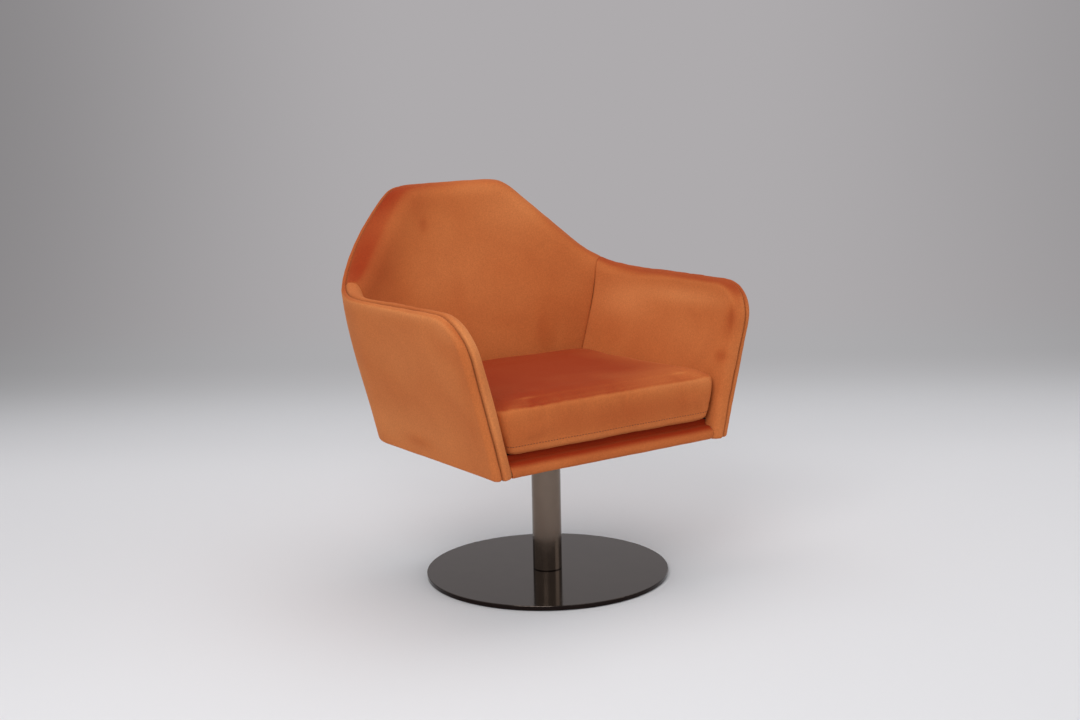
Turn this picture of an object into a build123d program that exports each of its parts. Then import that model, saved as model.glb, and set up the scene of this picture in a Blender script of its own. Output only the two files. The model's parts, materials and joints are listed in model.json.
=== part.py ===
from build123d import *
import os
from math import acos, atan2, cos, pi, radians, sin, sqrt, tan

# A pedestal swivel armchair. Millimetres, +Z up, the front faces -Y, and the origin is on
# the floor, on the swivel axis. The tub is one upholstered shell: two arms and a back that
# rises between them. It turns on a round steel foot, and its loose seat cushion lifts off.

# ---- pedestal ----
DISC_DIAMETER = 500.0
DISC_THICKNESS = 9.0
DISC_EDGE_ROUND = 1.2
FLOOR_PAD_DIAMETER = 470.0
FLOOR_PAD_THICKNESS = 1.5
COLUMN_DIAMETER = 60.0
COLUMN_WALL = 3.0
COLUMN_ENTRY = 3.0            # how far the column's end stands inside the tub's underside
FOOT_PLUG_LENGTH = 25.0
FOOT_SCREW_COUNT = 4
FOOT_SCREW_CIRCLE = 34.0
FOOT_SCREW_DIAMETER = 8.0
FOOT_SCREW_HEAD_DIAMETER = 15.0
FOOT_SCREW_HEAD_HEIGHT = 3.5
FOOT_SCREW_LENGTH = 28.0
FOOT_HOLE_EXTRA = 0.5          # how much deeper its hole is

# ---- swivel bearing ----
HOUSING_LENGTH = 120.0
HOUSING_FLANGE = 3.0
SPINDLE_DIAMETER = 25.0
SPINDLE_TAIL = 9.0            # spindle below the lower bush's flange
RUNNING_CLEARANCE = 0.05      # radial, between the spindle and its bushes
BUSH_WALL = 3.5
BUSH_LENGTH = 25.0
BUSH_FLANGE_THICKNESS = 2.0
BUSH_FLANGE_RIM = 3.0
RACE_THICKNESS = 2.5
RACE_OUTER_DIAMETER = 58.0
RACE_INNER_DIAMETER = 40.0
BALL_DIAMETER = 5.0
BALL_COUNT = 16
BALL_CLEARANCE = 0.04
CAGE_THICKNESS = 3.0
CAGE_SIDE_GAP = 1.5           # each side of the cage, to the edges of the races
WASHER_DIAMETER = 40.0
WASHER_THICKNESS = 2.0
AXIAL_PLAY = 0.3
CIRCLIP_THICKNESS = 1.5
CIRCLIP_DEPTH = 1.2           # depth of its groove in the spindle
CIRCLIP_RIM = 3.0
CIRCLIP_OPENING = 60.0        # degrees

# ---- mounting plate and its bolts ----
PLATE_SIZE = 190.0
PLATE_THICKNESS = 5.0
PLATE_CORNER = 14.0
PLATE_BOLT_SPACING = 150.0
BOLT_DIAMETER = 8.0
BOLT_LENGTH = 16.0
BOLT_HEAD_ACROSS_FLATS = 13.0
BOLT_HEAD_HEIGHT = 5.3
BOLT_CLEARANCE = 0.2
NUT_BARREL_DIAMETER = 10.5
NUT_BARREL_LENGTH = 9.0
NUT_FLANGE_DIAMETER = 22.0
NUT_FLANGE_THICKNESS = 1.5

# ---- tub: heights ----
TUB_BOTTOM = 286.0
ARM_HEIGHT = 595.0
BACK_HEIGHT = 791.0
# ---- tub: plan, as half width at the front, half width at the rear, back and corner ----
BOTTOM_FRONT_HALF, BOTTOM_REAR_HALF, BOTTOM_BACK, BOTTOM_CORNER = 289.0, 276.0, 300.0, 142.0
SEAT_FRONT_HALF, SEAT_REAR_HALF, SEAT_BACK, SEAT_CORNER = 326.0, 314.0, 323.0, 168.0
ARM_FRONT_HALF, ARM_REAR_HALF, ARM_BACK, ARM_CORNER = 364.0, 367.0, 343.0, 247.0
TOP_FRONT_HALF, TOP_REAR_HALF, TOP_BACK, TOP_CORNER = 384.0, 362.0, 361.0, 321.0
SEAT_LEVEL_RISE = 144.0       # from the underside to the plan at the cushion's crown
ARM_LEVEL_DROP = 20.0         # from the arms' top to the plan just under them
TOP_MARGIN = 9.0              # the plan above the crest that the rim is cut from
# ---- tub: inner back, straight across between the two inner corner seams ----
INNER_BACK_BOTTOM, INNER_BACK_SEAT = 222.0, 236.0
INNER_BACK_ARM, INNER_BACK_TOP = 273.0, 320.0
SEAM_ANGLE_BOTTOM, SEAM_ANGLE_SEAT = 18.0, 23.0
SEAM_ANGLE_ARM, SEAM_ANGLE_TOP = 31.0, 36.0
# ---- tub: rim ----
FRONT = -238.0
ARM_NOSE_RADIUS = 82.0        # front upper corner of an arm, seen from the side
RIM_ROUND = 13.0
BOTTOM_ROUND = 5.0
RAMP_DIRECTION = 50.0         # degrees in plan from +X, the way that a rear corner faces
RAMP_SLOPE = 42.0             # degrees
RAMP_FOOT = -108.0            # along the corner, where the slope's line meets the arm's height
RAMP_BLEND = 230.0
CREST_BLEND = 55.0
NOSE_REACH = 180.0            # depth of the arms' level part, back from their front
# ---- tub: layers ----
SHELL_THICKNESS = 42.0
COVER_THICKNESS = 3.0
PANEL_THICKNESS = 12.0
HEM_WIDTH = 9.0
LINING_THICKNESS = 3.0

# ---- seat platform ----
BOARD_RISE = 20.0             # board's underside above the tub's underside
BOARD_THICKNESS = 12.0
DECK_FOAM_THICKNESS = 4.0
DECK_CLOTH_THICKNESS = 2.0
RAIL_DEPTH = 22.0
RAIL_SETBACK = 10.0           # rail's face behind the arms' front
LIP_HEIGHT = 26.0
CLEAT_WIDTH = 20.0
CLEAT_FRONT_GAP = 20.0
CLEAT_REAR_GAP = 15.0
CLEAT_SCREW_DIAMETER = 5.0
CLEAT_SCREW_HEAD = 9.0
CLEAT_SCREW_LENGTH = 26.0
DUST_CLOTH_THICKNESS = 1.5
COLUMN_HOLE_CLEARANCE = 3.0

# ---- cushion ----
CUSHION_GAP = 3.0
CUSHION_BACK_GAP = 14.0
CUSHION_CORNER_GAP = 6.0      # its back corners stand this far in front of the seams
CUSHION_HEIGHT = 88.0         # at its upper seam
CUSHION_CROWN = 14.0
CUSHION_FRONT_SETBACK = 9.0
CUSHION_SEAM_CORNER = 22.0    # front corners, at the upper seam and at the foot
CUSHION_FOOT_CORNER = 9.0
CUSHION_COVER = 2.5
CUSHION_FOOT_TUCK = 3.5       # how far the foot of the border is drawn in
CUSHION_SEAM_TUCK = 1.5
CUSHION_BORDER_DRAW = 0.8     # draw of the border between its seams
CUSHION_LIFT_CLEARANCE = 0.3  # above the deck
# Share of the border's height, and how far its outline is drawn in there.
BORDER_STEPS = [
    (0.0, CUSHION_FOOT_TUCK),
    (0.12, CUSHION_SEAM_TUCK),
    (0.5, CUSHION_BORDER_DRAW),
    (0.9, 0.0),
    (1.0, CUSHION_SEAM_TUCK),
]
# Scale of the crown's outline, and the share of the crown's height there.
CROWN_STEPS = [(1.0, 0.0), (0.93, 0.42), (0.78, 0.76), (0.5, 0.95), (0.2, 1.0)]

# ---- derived heights ----
DISC_TOP = FLOOR_PAD_THICKNESS + DISC_THICKNESS
COLUMN_TOP = TUB_BOTTOM + COLUMN_ENTRY
HOUSING_TOP = COLUMN_TOP + HOUSING_FLANGE
HOUSING_BOTTOM = COLUMN_TOP - HOUSING_LENGTH
BALL_GAP = BALL_DIAMETER + 2 * BALL_CLEARANCE
UPPER_RACE_BOTTOM = HOUSING_TOP + RACE_THICKNESS + BALL_GAP
PLATE_BOTTOM = UPPER_RACE_BOTTOM + RACE_THICKNESS
PLATE_TOP = PLATE_BOTTOM + PLATE_THICKNESS
BOARD_BOTTOM = max(TUB_BOTTOM + BOARD_RISE, PLATE_TOP)
BOARD_TOP = BOARD_BOTTOM + BOARD_THICKNESS
DECK_TOP = BOARD_TOP + DECK_FOAM_THICKNESS + DECK_CLOTH_THICKNESS
PANEL_BOTTOM = TUB_BOTTOM + COVER_THICKNESS
LIP_TOP = TUB_BOTTOM + LIP_HEIGHT
CUSHION_BOTTOM = DECK_TOP + CUSHION_LIFT_CLEARANCE
CUSHION_SEAM = CUSHION_BOTTOM + CUSHION_HEIGHT

# ---- derived plan sizes ----
RAIL_FRONT = FRONT + RAIL_SETBACK
RAIL_BACK = RAIL_FRONT + RAIL_DEPTH
LIP_FRONT = RAIL_FRONT - COVER_THICKNESS
PANEL_INSET = COVER_THICKNESS + PANEL_THICKNESS
LINING_INSET = SHELL_THICKNESS - LINING_THICKNESS
BUSH_OUTER = SPINDLE_DIAMETER / 2 + RUNNING_CLEARANCE + BUSH_WALL
WIDE = 1200.0                 # reach of the blocks that cut the tub, well past its size
PLAN_FRONT = FRONT - 62.0     # the plans run on past the arms' front, and are cut there

# ---- how the shell's edges are told apart ----
MARGIN = 1.0
TOUCH = 0.5                   # a point this near to a height lies at it
SAMPLES = (0.1, 0.5, 0.9)     # where along an edge its points are taken
PROBE_SHARE = 0.04            # how far a probe moves towards the middle
CORNER_START = 85.0           # the plan's corners curve in behind this

# Each plan of the tub: height, half widths, back, corner radius, inner back, seam angle.
PLANS = [
    (TUB_BOTTOM, BOTTOM_FRONT_HALF, BOTTOM_REAR_HALF, BOTTOM_BACK, BOTTOM_CORNER,
     INNER_BACK_BOTTOM, SEAM_ANGLE_BOTTOM),
    (TUB_BOTTOM + SEAT_LEVEL_RISE, SEAT_FRONT_HALF, SEAT_REAR_HALF, SEAT_BACK, SEAT_CORNER,
     INNER_BACK_SEAT, SEAM_ANGLE_SEAT),
    (ARM_HEIGHT - ARM_LEVEL_DROP, ARM_FRONT_HALF, ARM_REAR_HALF, ARM_BACK, ARM_CORNER,
     INNER_BACK_ARM, SEAM_ANGLE_ARM),
    (BACK_HEIGHT + TOP_MARGIN, TOP_FRONT_HALF, TOP_REAR_HALF, TOP_BACK, TOP_CORNER,
     INNER_BACK_TOP, SEAM_ANGLE_TOP),
]


def polar(centre, radius, angle):
    """The point at an angle, in radians, on a circle."""
    return (centre[0] + radius * cos(angle), centre[1] + radius * sin(angle))


def flip(point):
    """The same point on the chair's other side."""
    return (-point[0], point[1])


def slab(low, high, front=-WIDE, back=WIDE, left=-WIDE, right=WIDE):
    """A block between two heights, and between any sides that are given."""
    size = Vector(right - left, back - front, high - low)
    centre = Vector((left + right) / 2, (front + back) / 2, (low + high) / 2)
    return Pos(centre) * Box(size.X, size.Y, size.Z)


def rod(radius, low, high, at=(0, 0)):
    """A round bar from one height to another."""
    return Pos(at[0], at[1], (low + high) / 2) * Cylinder(radius, high - low)


def ring(inner_radius, outer_radius, low, high):
    """A round bar with a hole along its axis."""
    return rod(outer_radius, low, high) - rod(inner_radius, low, high)


def turned(radius, count, start=0.0):
    """Points spaced evenly on a circle about the swivel axis."""
    return [polar((0, 0), radius, start + 2 * pi * i / count) for i in range(count)]


def one(shape):
    """The shape as a single solid where it is one."""
    solids = shape.solids()
    return solids[0] if len(solids) == 1 else Compound(solids)


# ---------------------------------------------------------------- pedestal


def floor_pad():
    return rod(FLOOR_PAD_DIAMETER / 2, 0, FLOOR_PAD_THICKNESS)


def foot_screw_places():
    return turned(FOOT_SCREW_CIRCLE / 2, FOOT_SCREW_COUNT, pi / FOOT_SCREW_COUNT)


def foot_screw(place, clearance=0.0):
    """A countersunk screw, head down, or with a clearance the hole that takes it."""
    shank = FOOT_SCREW_DIAMETER / 2 + clearance
    head = FOOT_SCREW_HEAD_DIAMETER / 2 + clearance
    low = FLOOR_PAD_THICKNESS
    tip = low + FOOT_SCREW_LENGTH + (FOOT_HOLE_EXTRA if clearance else 0)
    cone = Cone(head, shank, FOOT_SCREW_HEAD_HEIGHT)
    cone = Pos(place[0], place[1], low + FOOT_SCREW_HEAD_HEIGHT / 2) * cone
    return rod(shank, low, tip, place) + cone


def base_disc():
    disc = rod(DISC_DIAMETER / 2, FLOOR_PAD_THICKNESS, DISC_TOP)
    disc = fillet(disc.edges().filter_by(GeomType.CIRCLE), DISC_EDGE_ROUND)
    for place in foot_screw_places():
        disc -= foot_screw(place, RUNNING_CLEARANCE)
    return disc


def foot_plug():
    plug = rod(COLUMN_DIAMETER / 2 - COLUMN_WALL, DISC_TOP, DISC_TOP + FOOT_PLUG_LENGTH)
    for place in foot_screw_places():
        plug -= foot_screw(place, RUNNING_CLEARANCE)
    return plug


def foot_screws():
    return Compound([one(foot_screw(place)) for place in foot_screw_places()])


def column_tube():
    outer = COLUMN_DIAMETER / 2
    return ring(outer - COLUMN_WALL, outer, DISC_TOP, COLUMN_TOP)


# ---------------------------------------------------------------- swivel bearing


def bearing_housing():
    body = rod(COLUMN_DIAMETER / 2 - COLUMN_WALL, HOUSING_BOTTOM, COLUMN_TOP)
    body += rod(COLUMN_DIAMETER / 2, COLUMN_TOP, HOUSING_TOP)
    return body - rod(BUSH_OUTER, HOUSING_BOTTOM, HOUSING_TOP)


def bush(flange_at, up):
    """A flanged bush: its flange lies outside the housing, at the given height."""
    bore = SPINDLE_DIAMETER / 2 + RUNNING_CLEARANCE
    body_end = flange_at - up * BUSH_LENGTH
    flange_end = flange_at + up * BUSH_FLANGE_THICKNESS
    low, high = sorted((body_end, flange_end))
    flange = rod(BUSH_OUTER + BUSH_FLANGE_RIM, *sorted((flange_at, flange_end)))
    return rod(BUSH_OUTER, low, high) + flange - rod(bore, low, high)


def race(low):
    return ring(RACE_INNER_DIAMETER / 2, RACE_OUTER_DIAMETER / 2, low, low + RACE_THICKNESS)


def ball_places():
    return turned((RACE_INNER_DIAMETER + RACE_OUTER_DIAMETER) / 4, BALL_COUNT)


def ball_height():
    return HOUSING_TOP + RACE_THICKNESS + BALL_GAP / 2


def bearing_balls():
    height = ball_height()
    return Compound([one(Pos(x, y, height) * Sphere(BALL_DIAMETER / 2)) for x, y in ball_places()])


def ball_cage():
    low = ball_height() - CAGE_THICKNESS / 2
    high = low + CAGE_THICKNESS
    inner = RACE_INNER_DIAMETER / 2 + CAGE_SIDE_GAP
    outer = RACE_OUTER_DIAMETER / 2 - CAGE_SIDE_GAP
    cage = ring(inner, outer, low, high)
    for place in ball_places():
        cage -= rod(BALL_DIAMETER / 2 + BALL_CLEARANCE, low, high, place)
    return cage


def washer_top():
    return HOUSING_BOTTOM - BUSH_FLANGE_THICKNESS - AXIAL_PLAY


def circlip_bottom():
    return washer_top() - WASHER_THICKNESS - CIRCLIP_THICKNESS


def swivel_spindle():
    radius = SPINDLE_DIAMETER / 2
    low = washer_top() - SPINDLE_TAIL
    clip = circlip_bottom()
    groove = ring(radius - CIRCLIP_DEPTH, radius + 1, clip, clip + CIRCLIP_THICKNESS)
    return rod(radius, low, PLATE_TOP) - groove


def spindle_washer():
    top = washer_top()
    inner = SPINDLE_DIAMETER / 2 + RUNNING_CLEARANCE
    return ring(inner, WASHER_DIAMETER / 2, top - WASHER_THICKNESS, top)


def circlip():
    """A ring that is open on one side, in the spindle's groove."""
    low = circlip_bottom()
    high = low + CIRCLIP_THICKNESS
    radius = SPINDLE_DIAMETER / 2
    body = ring(radius - CIRCLIP_DEPTH, radius + CIRCLIP_RIM, low, high)
    reach = 2 * radius
    half = reach * tan(radians(CIRCLIP_OPENING / 2))
    wedge = Polyline((0, 0), (reach, -half), (reach, half), close=True)
    return body - Pos(0, 0, low) * extrude(make_face(wedge), CIRCLIP_THICKNESS)


# ---------------------------------------------------------------- mounting plate


def bolt_places():
    half = PLATE_BOLT_SPACING / 2
    return [(x, y) for x in (-half, half) for y in (-half, half)]


def swivel_plate():
    outline = RectangleRounded(PLATE_SIZE, PLATE_SIZE, PLATE_CORNER)
    plate = Pos(0, 0, PLATE_BOTTOM) * extrude(outline, PLATE_THICKNESS)
    plate -= rod(SPINDLE_DIAMETER / 2, PLATE_BOTTOM, PLATE_TOP)
    for place in bolt_places():
        plate -= rod(BOLT_DIAMETER / 2 + BOLT_CLEARANCE, PLATE_BOTTOM, PLATE_TOP, place)
    return plate


def plate_bolt(place):
    head = RegularPolygon(BOLT_HEAD_ACROSS_FLATS / 2, 6, major_radius=False)
    head = Pos(place[0], place[1], PLATE_BOTTOM - BOLT_HEAD_HEIGHT) * extrude(head, BOLT_HEAD_HEIGHT)
    return head + rod(BOLT_DIAMETER / 2, PLATE_BOTTOM, PLATE_BOTTOM + BOLT_LENGTH, place)


def plate_bolts():
    return Compound([one(plate_bolt(place)) for place in bolt_places()])


def barrel_nut(place):
    """A nut let into the board from above, with its flange on the board's top."""
    low = BOARD_TOP - NUT_BARREL_LENGTH
    high = BOARD_TOP + NUT_FLANGE_THICKNESS
    body = rod(NUT_BARREL_DIAMETER / 2, low, BOARD_TOP, place)
    body += rod(NUT_FLANGE_DIAMETER / 2, BOARD_TOP, high, place)
    return body - rod(BOLT_DIAMETER / 2 + RUNNING_CLEARANCE, low, high, place)


def barrel_nuts():
    return Compound([one(barrel_nut(place)) for place in bolt_places()])


# ---------------------------------------------------------------- plans of the tub


def side_and_corner(plan, inset):
    """The side's front end, and the rear corner's circle up to the angle where they meet."""
    _, front_half, rear_half, back, corner, _, _ = plan
    radius = corner - inset
    centre = (rear_half - corner, back - corner)
    across, along = front_half - inset - centre[0], FRONT - centre[1]
    angle = atan2(along, across) + acos(radius / sqrt(across ** 2 + along ** 2))
    start = (front_half - inset + (FRONT - PLAN_FRONT) * tan(angle), PLAN_FRONT)
    return start, centre, radius, angle


def half_and_mirror(edges, start):
    """A closed outline from its right half, given as lists of points, and its front line."""
    drawn = []
    for points in edges:
        made = Line(*points) if len(points) == 2 else ThreePointArc(*points)
        drawn.append(made)
    for points in reversed(edges[:-1]):
        points = [flip(point) for point in reversed(points)]
        drawn.append(Line(*points) if len(points) == 2 else ThreePointArc(*points))
    drawn.append(Line(flip(start), start))
    return Wire(drawn)


def outer_outline(plan, inset):
    """The tub's outside at one plan, drawn in by an inset."""
    start, centre, radius, angle = side_and_corner(plan, inset)
    meet = polar(centre, radius, angle)
    middle = polar(centre, radius, (angle + pi / 2) / 2)
    end = polar(centre, radius, pi / 2)
    edges = [(start, meet), (meet, middle, end), (end, flip(end))]
    return Pos(0, 0, plan[0]) * half_and_mirror(edges, start)


def inner_outline(plan, inset):
    """The tub's inside at one plan: sides, corners up to their seams, and the back."""
    start, centre, radius, angle = side_and_corner(plan, inset)
    seam_angle = radians(plan[6])
    meet = polar(centre, radius, angle)
    middle = polar(centre, radius, (angle + seam_angle) / 2)
    seam = polar(centre, radius, seam_angle)
    back = (0, plan[5] + SHELL_THICKNESS - inset)
    edges = [(start, meet), (meet, middle, seam), (seam, back, flip(seam))]
    return Pos(0, 0, plan[0]) * half_and_mirror(edges, start)


def seam_outline(plan):
    """All that lies in front of the two inner corner seams at one plan."""
    _, centre, radius, _ = side_and_corner(plan, SHELL_THICKNESS)
    back = polar(centre, radius, radians(plan[6]))[1]
    corners = [(-WIDE, -WIDE), (WIDE, -WIDE), (WIDE, back), (-WIDE, back)]
    return Pos(0, 0, plan[0]) * Wire(Polyline(*corners, close=True))


def outer_block(inset):
    return Solid.make_loft([outer_outline(plan, inset) for plan in PLANS])


def inner_block(inset):
    return Solid.make_loft([inner_outline(plan, inset) for plan in PLANS])


# ---------------------------------------------------------------- rim


def ramp_profile(drop):
    """The rim's height along a rear corner: arm, hollow, slope, shoulder and crest."""
    slope = radians(RAMP_SLOPE)
    low, high = ARM_HEIGHT - drop, BACK_HEIGHT - drop
    foot, head = RAMP_FOOT, RAMP_FOOT + (high - low) / tan(slope)
    blend, crest = RAMP_BLEND * tan(slope / 2), CREST_BLEND * tan(slope / 2)
    hollow = [
        (foot - blend, low),
        (foot - blend + RAMP_BLEND * sin(slope / 2), low + RAMP_BLEND * (1 - cos(slope / 2))),
        (foot + blend * cos(slope), low + blend * sin(slope)),
    ]
    shoulder = [
        (head - crest * cos(slope), high - crest * sin(slope)),
        (head + crest - CREST_BLEND * sin(slope / 2), high - CREST_BLEND * (1 - cos(slope / 2))),
        (head + crest, high),
    ]
    box = [(WIDE, high), (WIDE, WIDE), (-WIDE, WIDE), (-WIDE, low)]
    runs = [(hollow[2], shoulder[0]), (shoulder[2], box[0]), (box[0], box[1])]
    runs += [(box[1], box[2]), (box[2], box[3]), (box[3], hollow[0])]
    lines = [Line(*run) for run in runs]
    return make_face([ThreePointArc(*hollow), ThreePointArc(*shoulder)] + lines)


def ramp_cutter(drop):
    """All that lies above the rim on the chair's right half."""
    turn = radians(RAMP_DIRECTION)
    face = Plane(origin=(0, 0, 0), x_dir=(-sin(turn), cos(turn), 0), z_dir=(cos(turn), sin(turn), 0))
    block = extrude(face * ramp_profile(drop), WIDE, both=True)
    return block & slab(0, WIDE, left=0)


def arm_keeper(drop, back):
    """All that lies below the arms' top and behind their rounded front."""
    front, top, radius = FRONT + drop, ARM_HEIGHT - drop, ARM_NOSE_RADIUS - drop
    low = TUB_BOTTOM - MARGIN
    centre = (front + radius, top - radius)
    nose = [polar(centre, radius, angle) for angle in (pi / 2, 3 * pi / 4, pi)]
    corners = [nose[2], (front, low), (back, low), (back, top), nose[0]]
    lines = [Line(a, b) for a, b in zip(corners, corners[1:])]
    face = Plane(origin=(-WIDE / 2, 0, 0), x_dir=(0, 1, 0), z_dir=(1, 0, 0))
    return extrude(face * make_face([ThreePointArc(*nose)] + lines), WIDE)


def below_rim(shape, drop):
    """The part of a shape that lies under the rim, lowered by a drop."""
    right = ramp_cutter(drop)
    split = FRONT + NOSE_REACH
    arms = shape & arm_keeper(drop, split)
    rest = shape - slab(0, WIDE, back=split) - right - mirror(right, about=Plane.YZ)
    return one(arms + rest)


def rim_distance(point):
    """How far a point's height is from the rim's, or 0 on the arms' rounded front."""
    turn = radians(RAMP_DIRECTION)
    along = point.Y * cos(turn) - abs(point.X) * sin(turn)
    ramp = ARM_HEIGHT + (along - RAMP_FOOT) * tan(radians(RAMP_SLOPE))
    nose = ARM_NOSE_RADIUS + MARGIN
    on_nose = point.Y < FRONT + nose and point.Z > ARM_HEIGHT - nose
    if on_nose or point.Y < FRONT + MARGIN:
        return 0.0
    return abs(point.Z - min(max(ramp, ARM_HEIGHT), BACK_HEIGHT))


def faces_out(point, cavity):
    """True where a point on the shell is on its outside, not its inside."""
    behind = max(point.Y - CORNER_START, 0)
    probe = Vector(point.X * (1 - PROBE_SHARE), point.Y - behind * PROBE_SHARE, point.Z + MARGIN)
    return not cavity.is_inside(probe)


def is_outer_rim(edge, cavity):
    """True for the rim's outer edges, which run along the arms' fronts too."""
    points = [edge @ share for share in SAMPLES]
    hollow_depth = RAMP_BLEND * (1 / cos(radians(RAMP_SLOPE / 2)) - 1)
    if edge.geom_type == GeomType.LINE or points[1].Z < TUB_BOTTOM + MARGIN:
        return False
    if max(rim_distance(point) for point in points) > hollow_depth + MARGIN:
        return False
    return faces_out(points[1], cavity)


def is_outer_foot(edge, cavity):
    """True for the outer edges of the underside, round the arms' noses too."""
    points = [edge @ share for share in SAMPLES]
    level = max(abs(point.Z - TUB_BOTTOM) for point in points) < TOUCH
    return level and points[1].Y > FRONT + MARGIN and faces_out(points[1], cavity)


def tub_block():
    """The whole upholstered shell, with its outer rim and its foot rounded."""
    cavity = inner_block(SHELL_THICKNESS)
    shell = below_rim(outer_block(0) - cavity, 0)
    rim = [edge for edge in shell.edges() if is_outer_rim(edge, cavity)]
    shell = one(shell.fillet(RIM_ROUND, rim))
    foot = [edge for edge in shell.edges() if is_outer_foot(edge, cavity)]
    return one(shell.fillet(BOTTOM_ROUND, foot))


# ---------------------------------------------------------------- layers of the tub


def tub_layers():
    """The shell's cover, frame panels, padding, and the lining that runs on over the rim."""
    shell = tub_block()
    inside_cover = outer_block(COVER_THICKNESS) & slab(PANEL_BOTTOM, WIDE)
    hem = shell & slab(0, PANEL_BOTTOM) - outer_block(HEM_WIDTH)
    cover = one((shell - outer_block(COVER_THICKNESS)) & slab(PANEL_BOTTOM, WIDE))
    cover = one(cover + hem)
    rest = shell & inside_cover
    seat = slab(0, BOARD_TOP, front=RAIL_FRONT)
    under = below_rim(rest - inner_block(LINING_INSET), LINING_THICKNESS)
    lining = (rest - under) - seat
    panels = under - outer_block(PANEL_INSET)
    padding = (under & outer_block(PANEL_INSET)) - seat
    return cover, lining, panels, padding


def split_sides(shape, front):
    """A layer's left arm, right arm and back, parted at the inner corner seams."""
    arms = shape & front
    left = one(arms & slab(0, WIDE, right=0))
    right = one(arms & slab(0, WIDE, left=0))
    return left, right, one(shape - front)


# ---------------------------------------------------------------- seat platform


def seat_board():
    board = outer_block(PANEL_INSET) & slab(BOARD_BOTTOM, BOARD_TOP, front=RAIL_BACK)
    for place in bolt_places():
        low = BOARD_TOP - NUT_BARREL_LENGTH
        board -= rod(BOLT_DIAMETER / 2 + BOLT_CLEARANCE, BOARD_BOTTOM, BOARD_TOP, place)
        board -= rod(NUT_BARREL_DIAMETER / 2, low, BOARD_TOP, place)
    for place in cleat_screw_places():
        board -= rod(CLEAT_SCREW_DIAMETER / 2, BOARD_BOTTOM, cleat_screw_top(), place)
    return board


def front_rail():
    low, high = PANEL_BOTTOM, LIP_TOP - COVER_THICKNESS
    return outer_block(PANEL_INSET) & slab(low, high, front=RAIL_FRONT, back=RAIL_BACK)


def front_apron():
    """The covered lip below the cushion: it wraps the rail's face and top."""
    cavity = inner_block(SHELL_THICKNESS)
    wrap = slab(TUB_BOTTOM, LIP_TOP, front=LIP_FRONT, back=RAIL_BACK)
    return (wrap & cavity) - slab(PANEL_BOTTOM, LIP_TOP - COVER_THICKNESS, front=RAIL_FRONT)


def cleat(front, back):
    block = slab(PANEL_BOTTOM, BOARD_BOTTOM, front=front, back=back)
    return block & (outer_block(PANEL_INSET) - outer_block(PANEL_INSET + CLEAT_WIDTH))


def cleat_ends():
    _, centre, _, _ = side_and_corner(PLANS[0], PANEL_INSET)
    return RAIL_BACK + CLEAT_FRONT_GAP, centre[1] - CLEAT_REAR_GAP


def cleat_screw_places():
    """Up through the cleats into the board: three a side, and three along the back."""
    front, back = cleat_ends()
    depth = PANEL_INSET + CLEAT_WIDTH / 2
    start, centre, radius, angle = side_and_corner(PLANS[0], depth)
    end = polar(centre, radius, angle)
    places = []
    for share in SAMPLES:
        y = front + (back - front) * share
        x = start[0] + (end[0] - start[0]) * (y - start[1]) / (end[1] - start[1])
        places += [(x, y), (-x, y)]
    return places + [(x, BOTTOM_BACK - depth) for x in (-centre[0] / 2, 0, centre[0] / 2)]


def cleat_screw_top():
    return PANEL_BOTTOM + CLEAT_SCREW_LENGTH


def cleat_screw(place):
    head = CLEAT_SCREW_HEAD / 2
    height = head - CLEAT_SCREW_DIAMETER / 2
    cone = Cone(head, CLEAT_SCREW_DIAMETER / 2, height)
    cone = Pos(place[0], place[1], PANEL_BOTTOM + height / 2) * cone
    return rod(CLEAT_SCREW_DIAMETER / 2, PANEL_BOTTOM, cleat_screw_top(), place) + cone


def cleats():
    """Left, right and back timber cleats that carry the board, without their screws."""
    front, back = cleat_ends()
    sides = cleat(front, back)
    rear = cleat(back + CLEAT_REAR_GAP, WIDE)
    for place in cleat_screw_places():
        sides -= cleat_screw(place)
        rear -= cleat_screw(place)
    left = sides & slab(0, WIDE, right=0)
    right = sides & slab(0, WIDE, left=0)
    return one(left), one(right), one(rear)


def cleat_screws():
    return Compound([one(cleat_screw(place)) for place in cleat_screw_places()])


def deck_plan(low, high):
    """The space inside the padding and lining, above the board."""
    return inner_block(SHELL_THICKNESS) & slab(low, high, front=RAIL_BACK)


def deck_foam():
    foam = deck_plan(BOARD_TOP, DECK_TOP - DECK_CLOTH_THICKNESS)
    for place in bolt_places():
        top = BOARD_TOP + NUT_FLANGE_THICKNESS
        foam -= rod(NUT_FLANGE_DIAMETER / 2, BOARD_TOP, top, place)
    return foam


def deck_cloth():
    """The cloth over the platform, and down its front edge to the lip."""
    top = deck_plan(DECK_TOP - DECK_CLOTH_THICKNESS, DECK_TOP)
    edge = slab(LIP_TOP, DECK_TOP, front=RAIL_BACK - DECK_CLOTH_THICKNESS, back=RAIL_BACK)
    return top + (edge & inner_block(SHELL_THICKNESS))


def dust_cloth():
    low = PANEL_BOTTOM - DUST_CLOTH_THICKNESS
    cloth = outer_block(HEM_WIDTH) & slab(low, PANEL_BOTTOM, front=RAIL_FRONT)
    cloth -= slab(low, PANEL_BOTTOM, back=RAIL_BACK) & inner_block(SHELL_THICKNESS)
    return cloth - rod(COLUMN_DIAMETER / 2 + COLUMN_HOLE_CLEARANCE, low, PANEL_BOTTOM)


# ---------------------------------------------------------------- cushion


def plan_at(height):
    """The tub's plan at a height, on the smooth curve that runs through all its plans."""
    total = [0.0] * len(PLANS[0])
    for plan in PLANS:
        share = 1.0
        for other in PLANS:
            if other is not plan:
                share *= (height - other[0]) / (plan[0] - other[0])
        total = [value + share * part for value, part in zip(total, plan)]
    return tuple(total)


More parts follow.
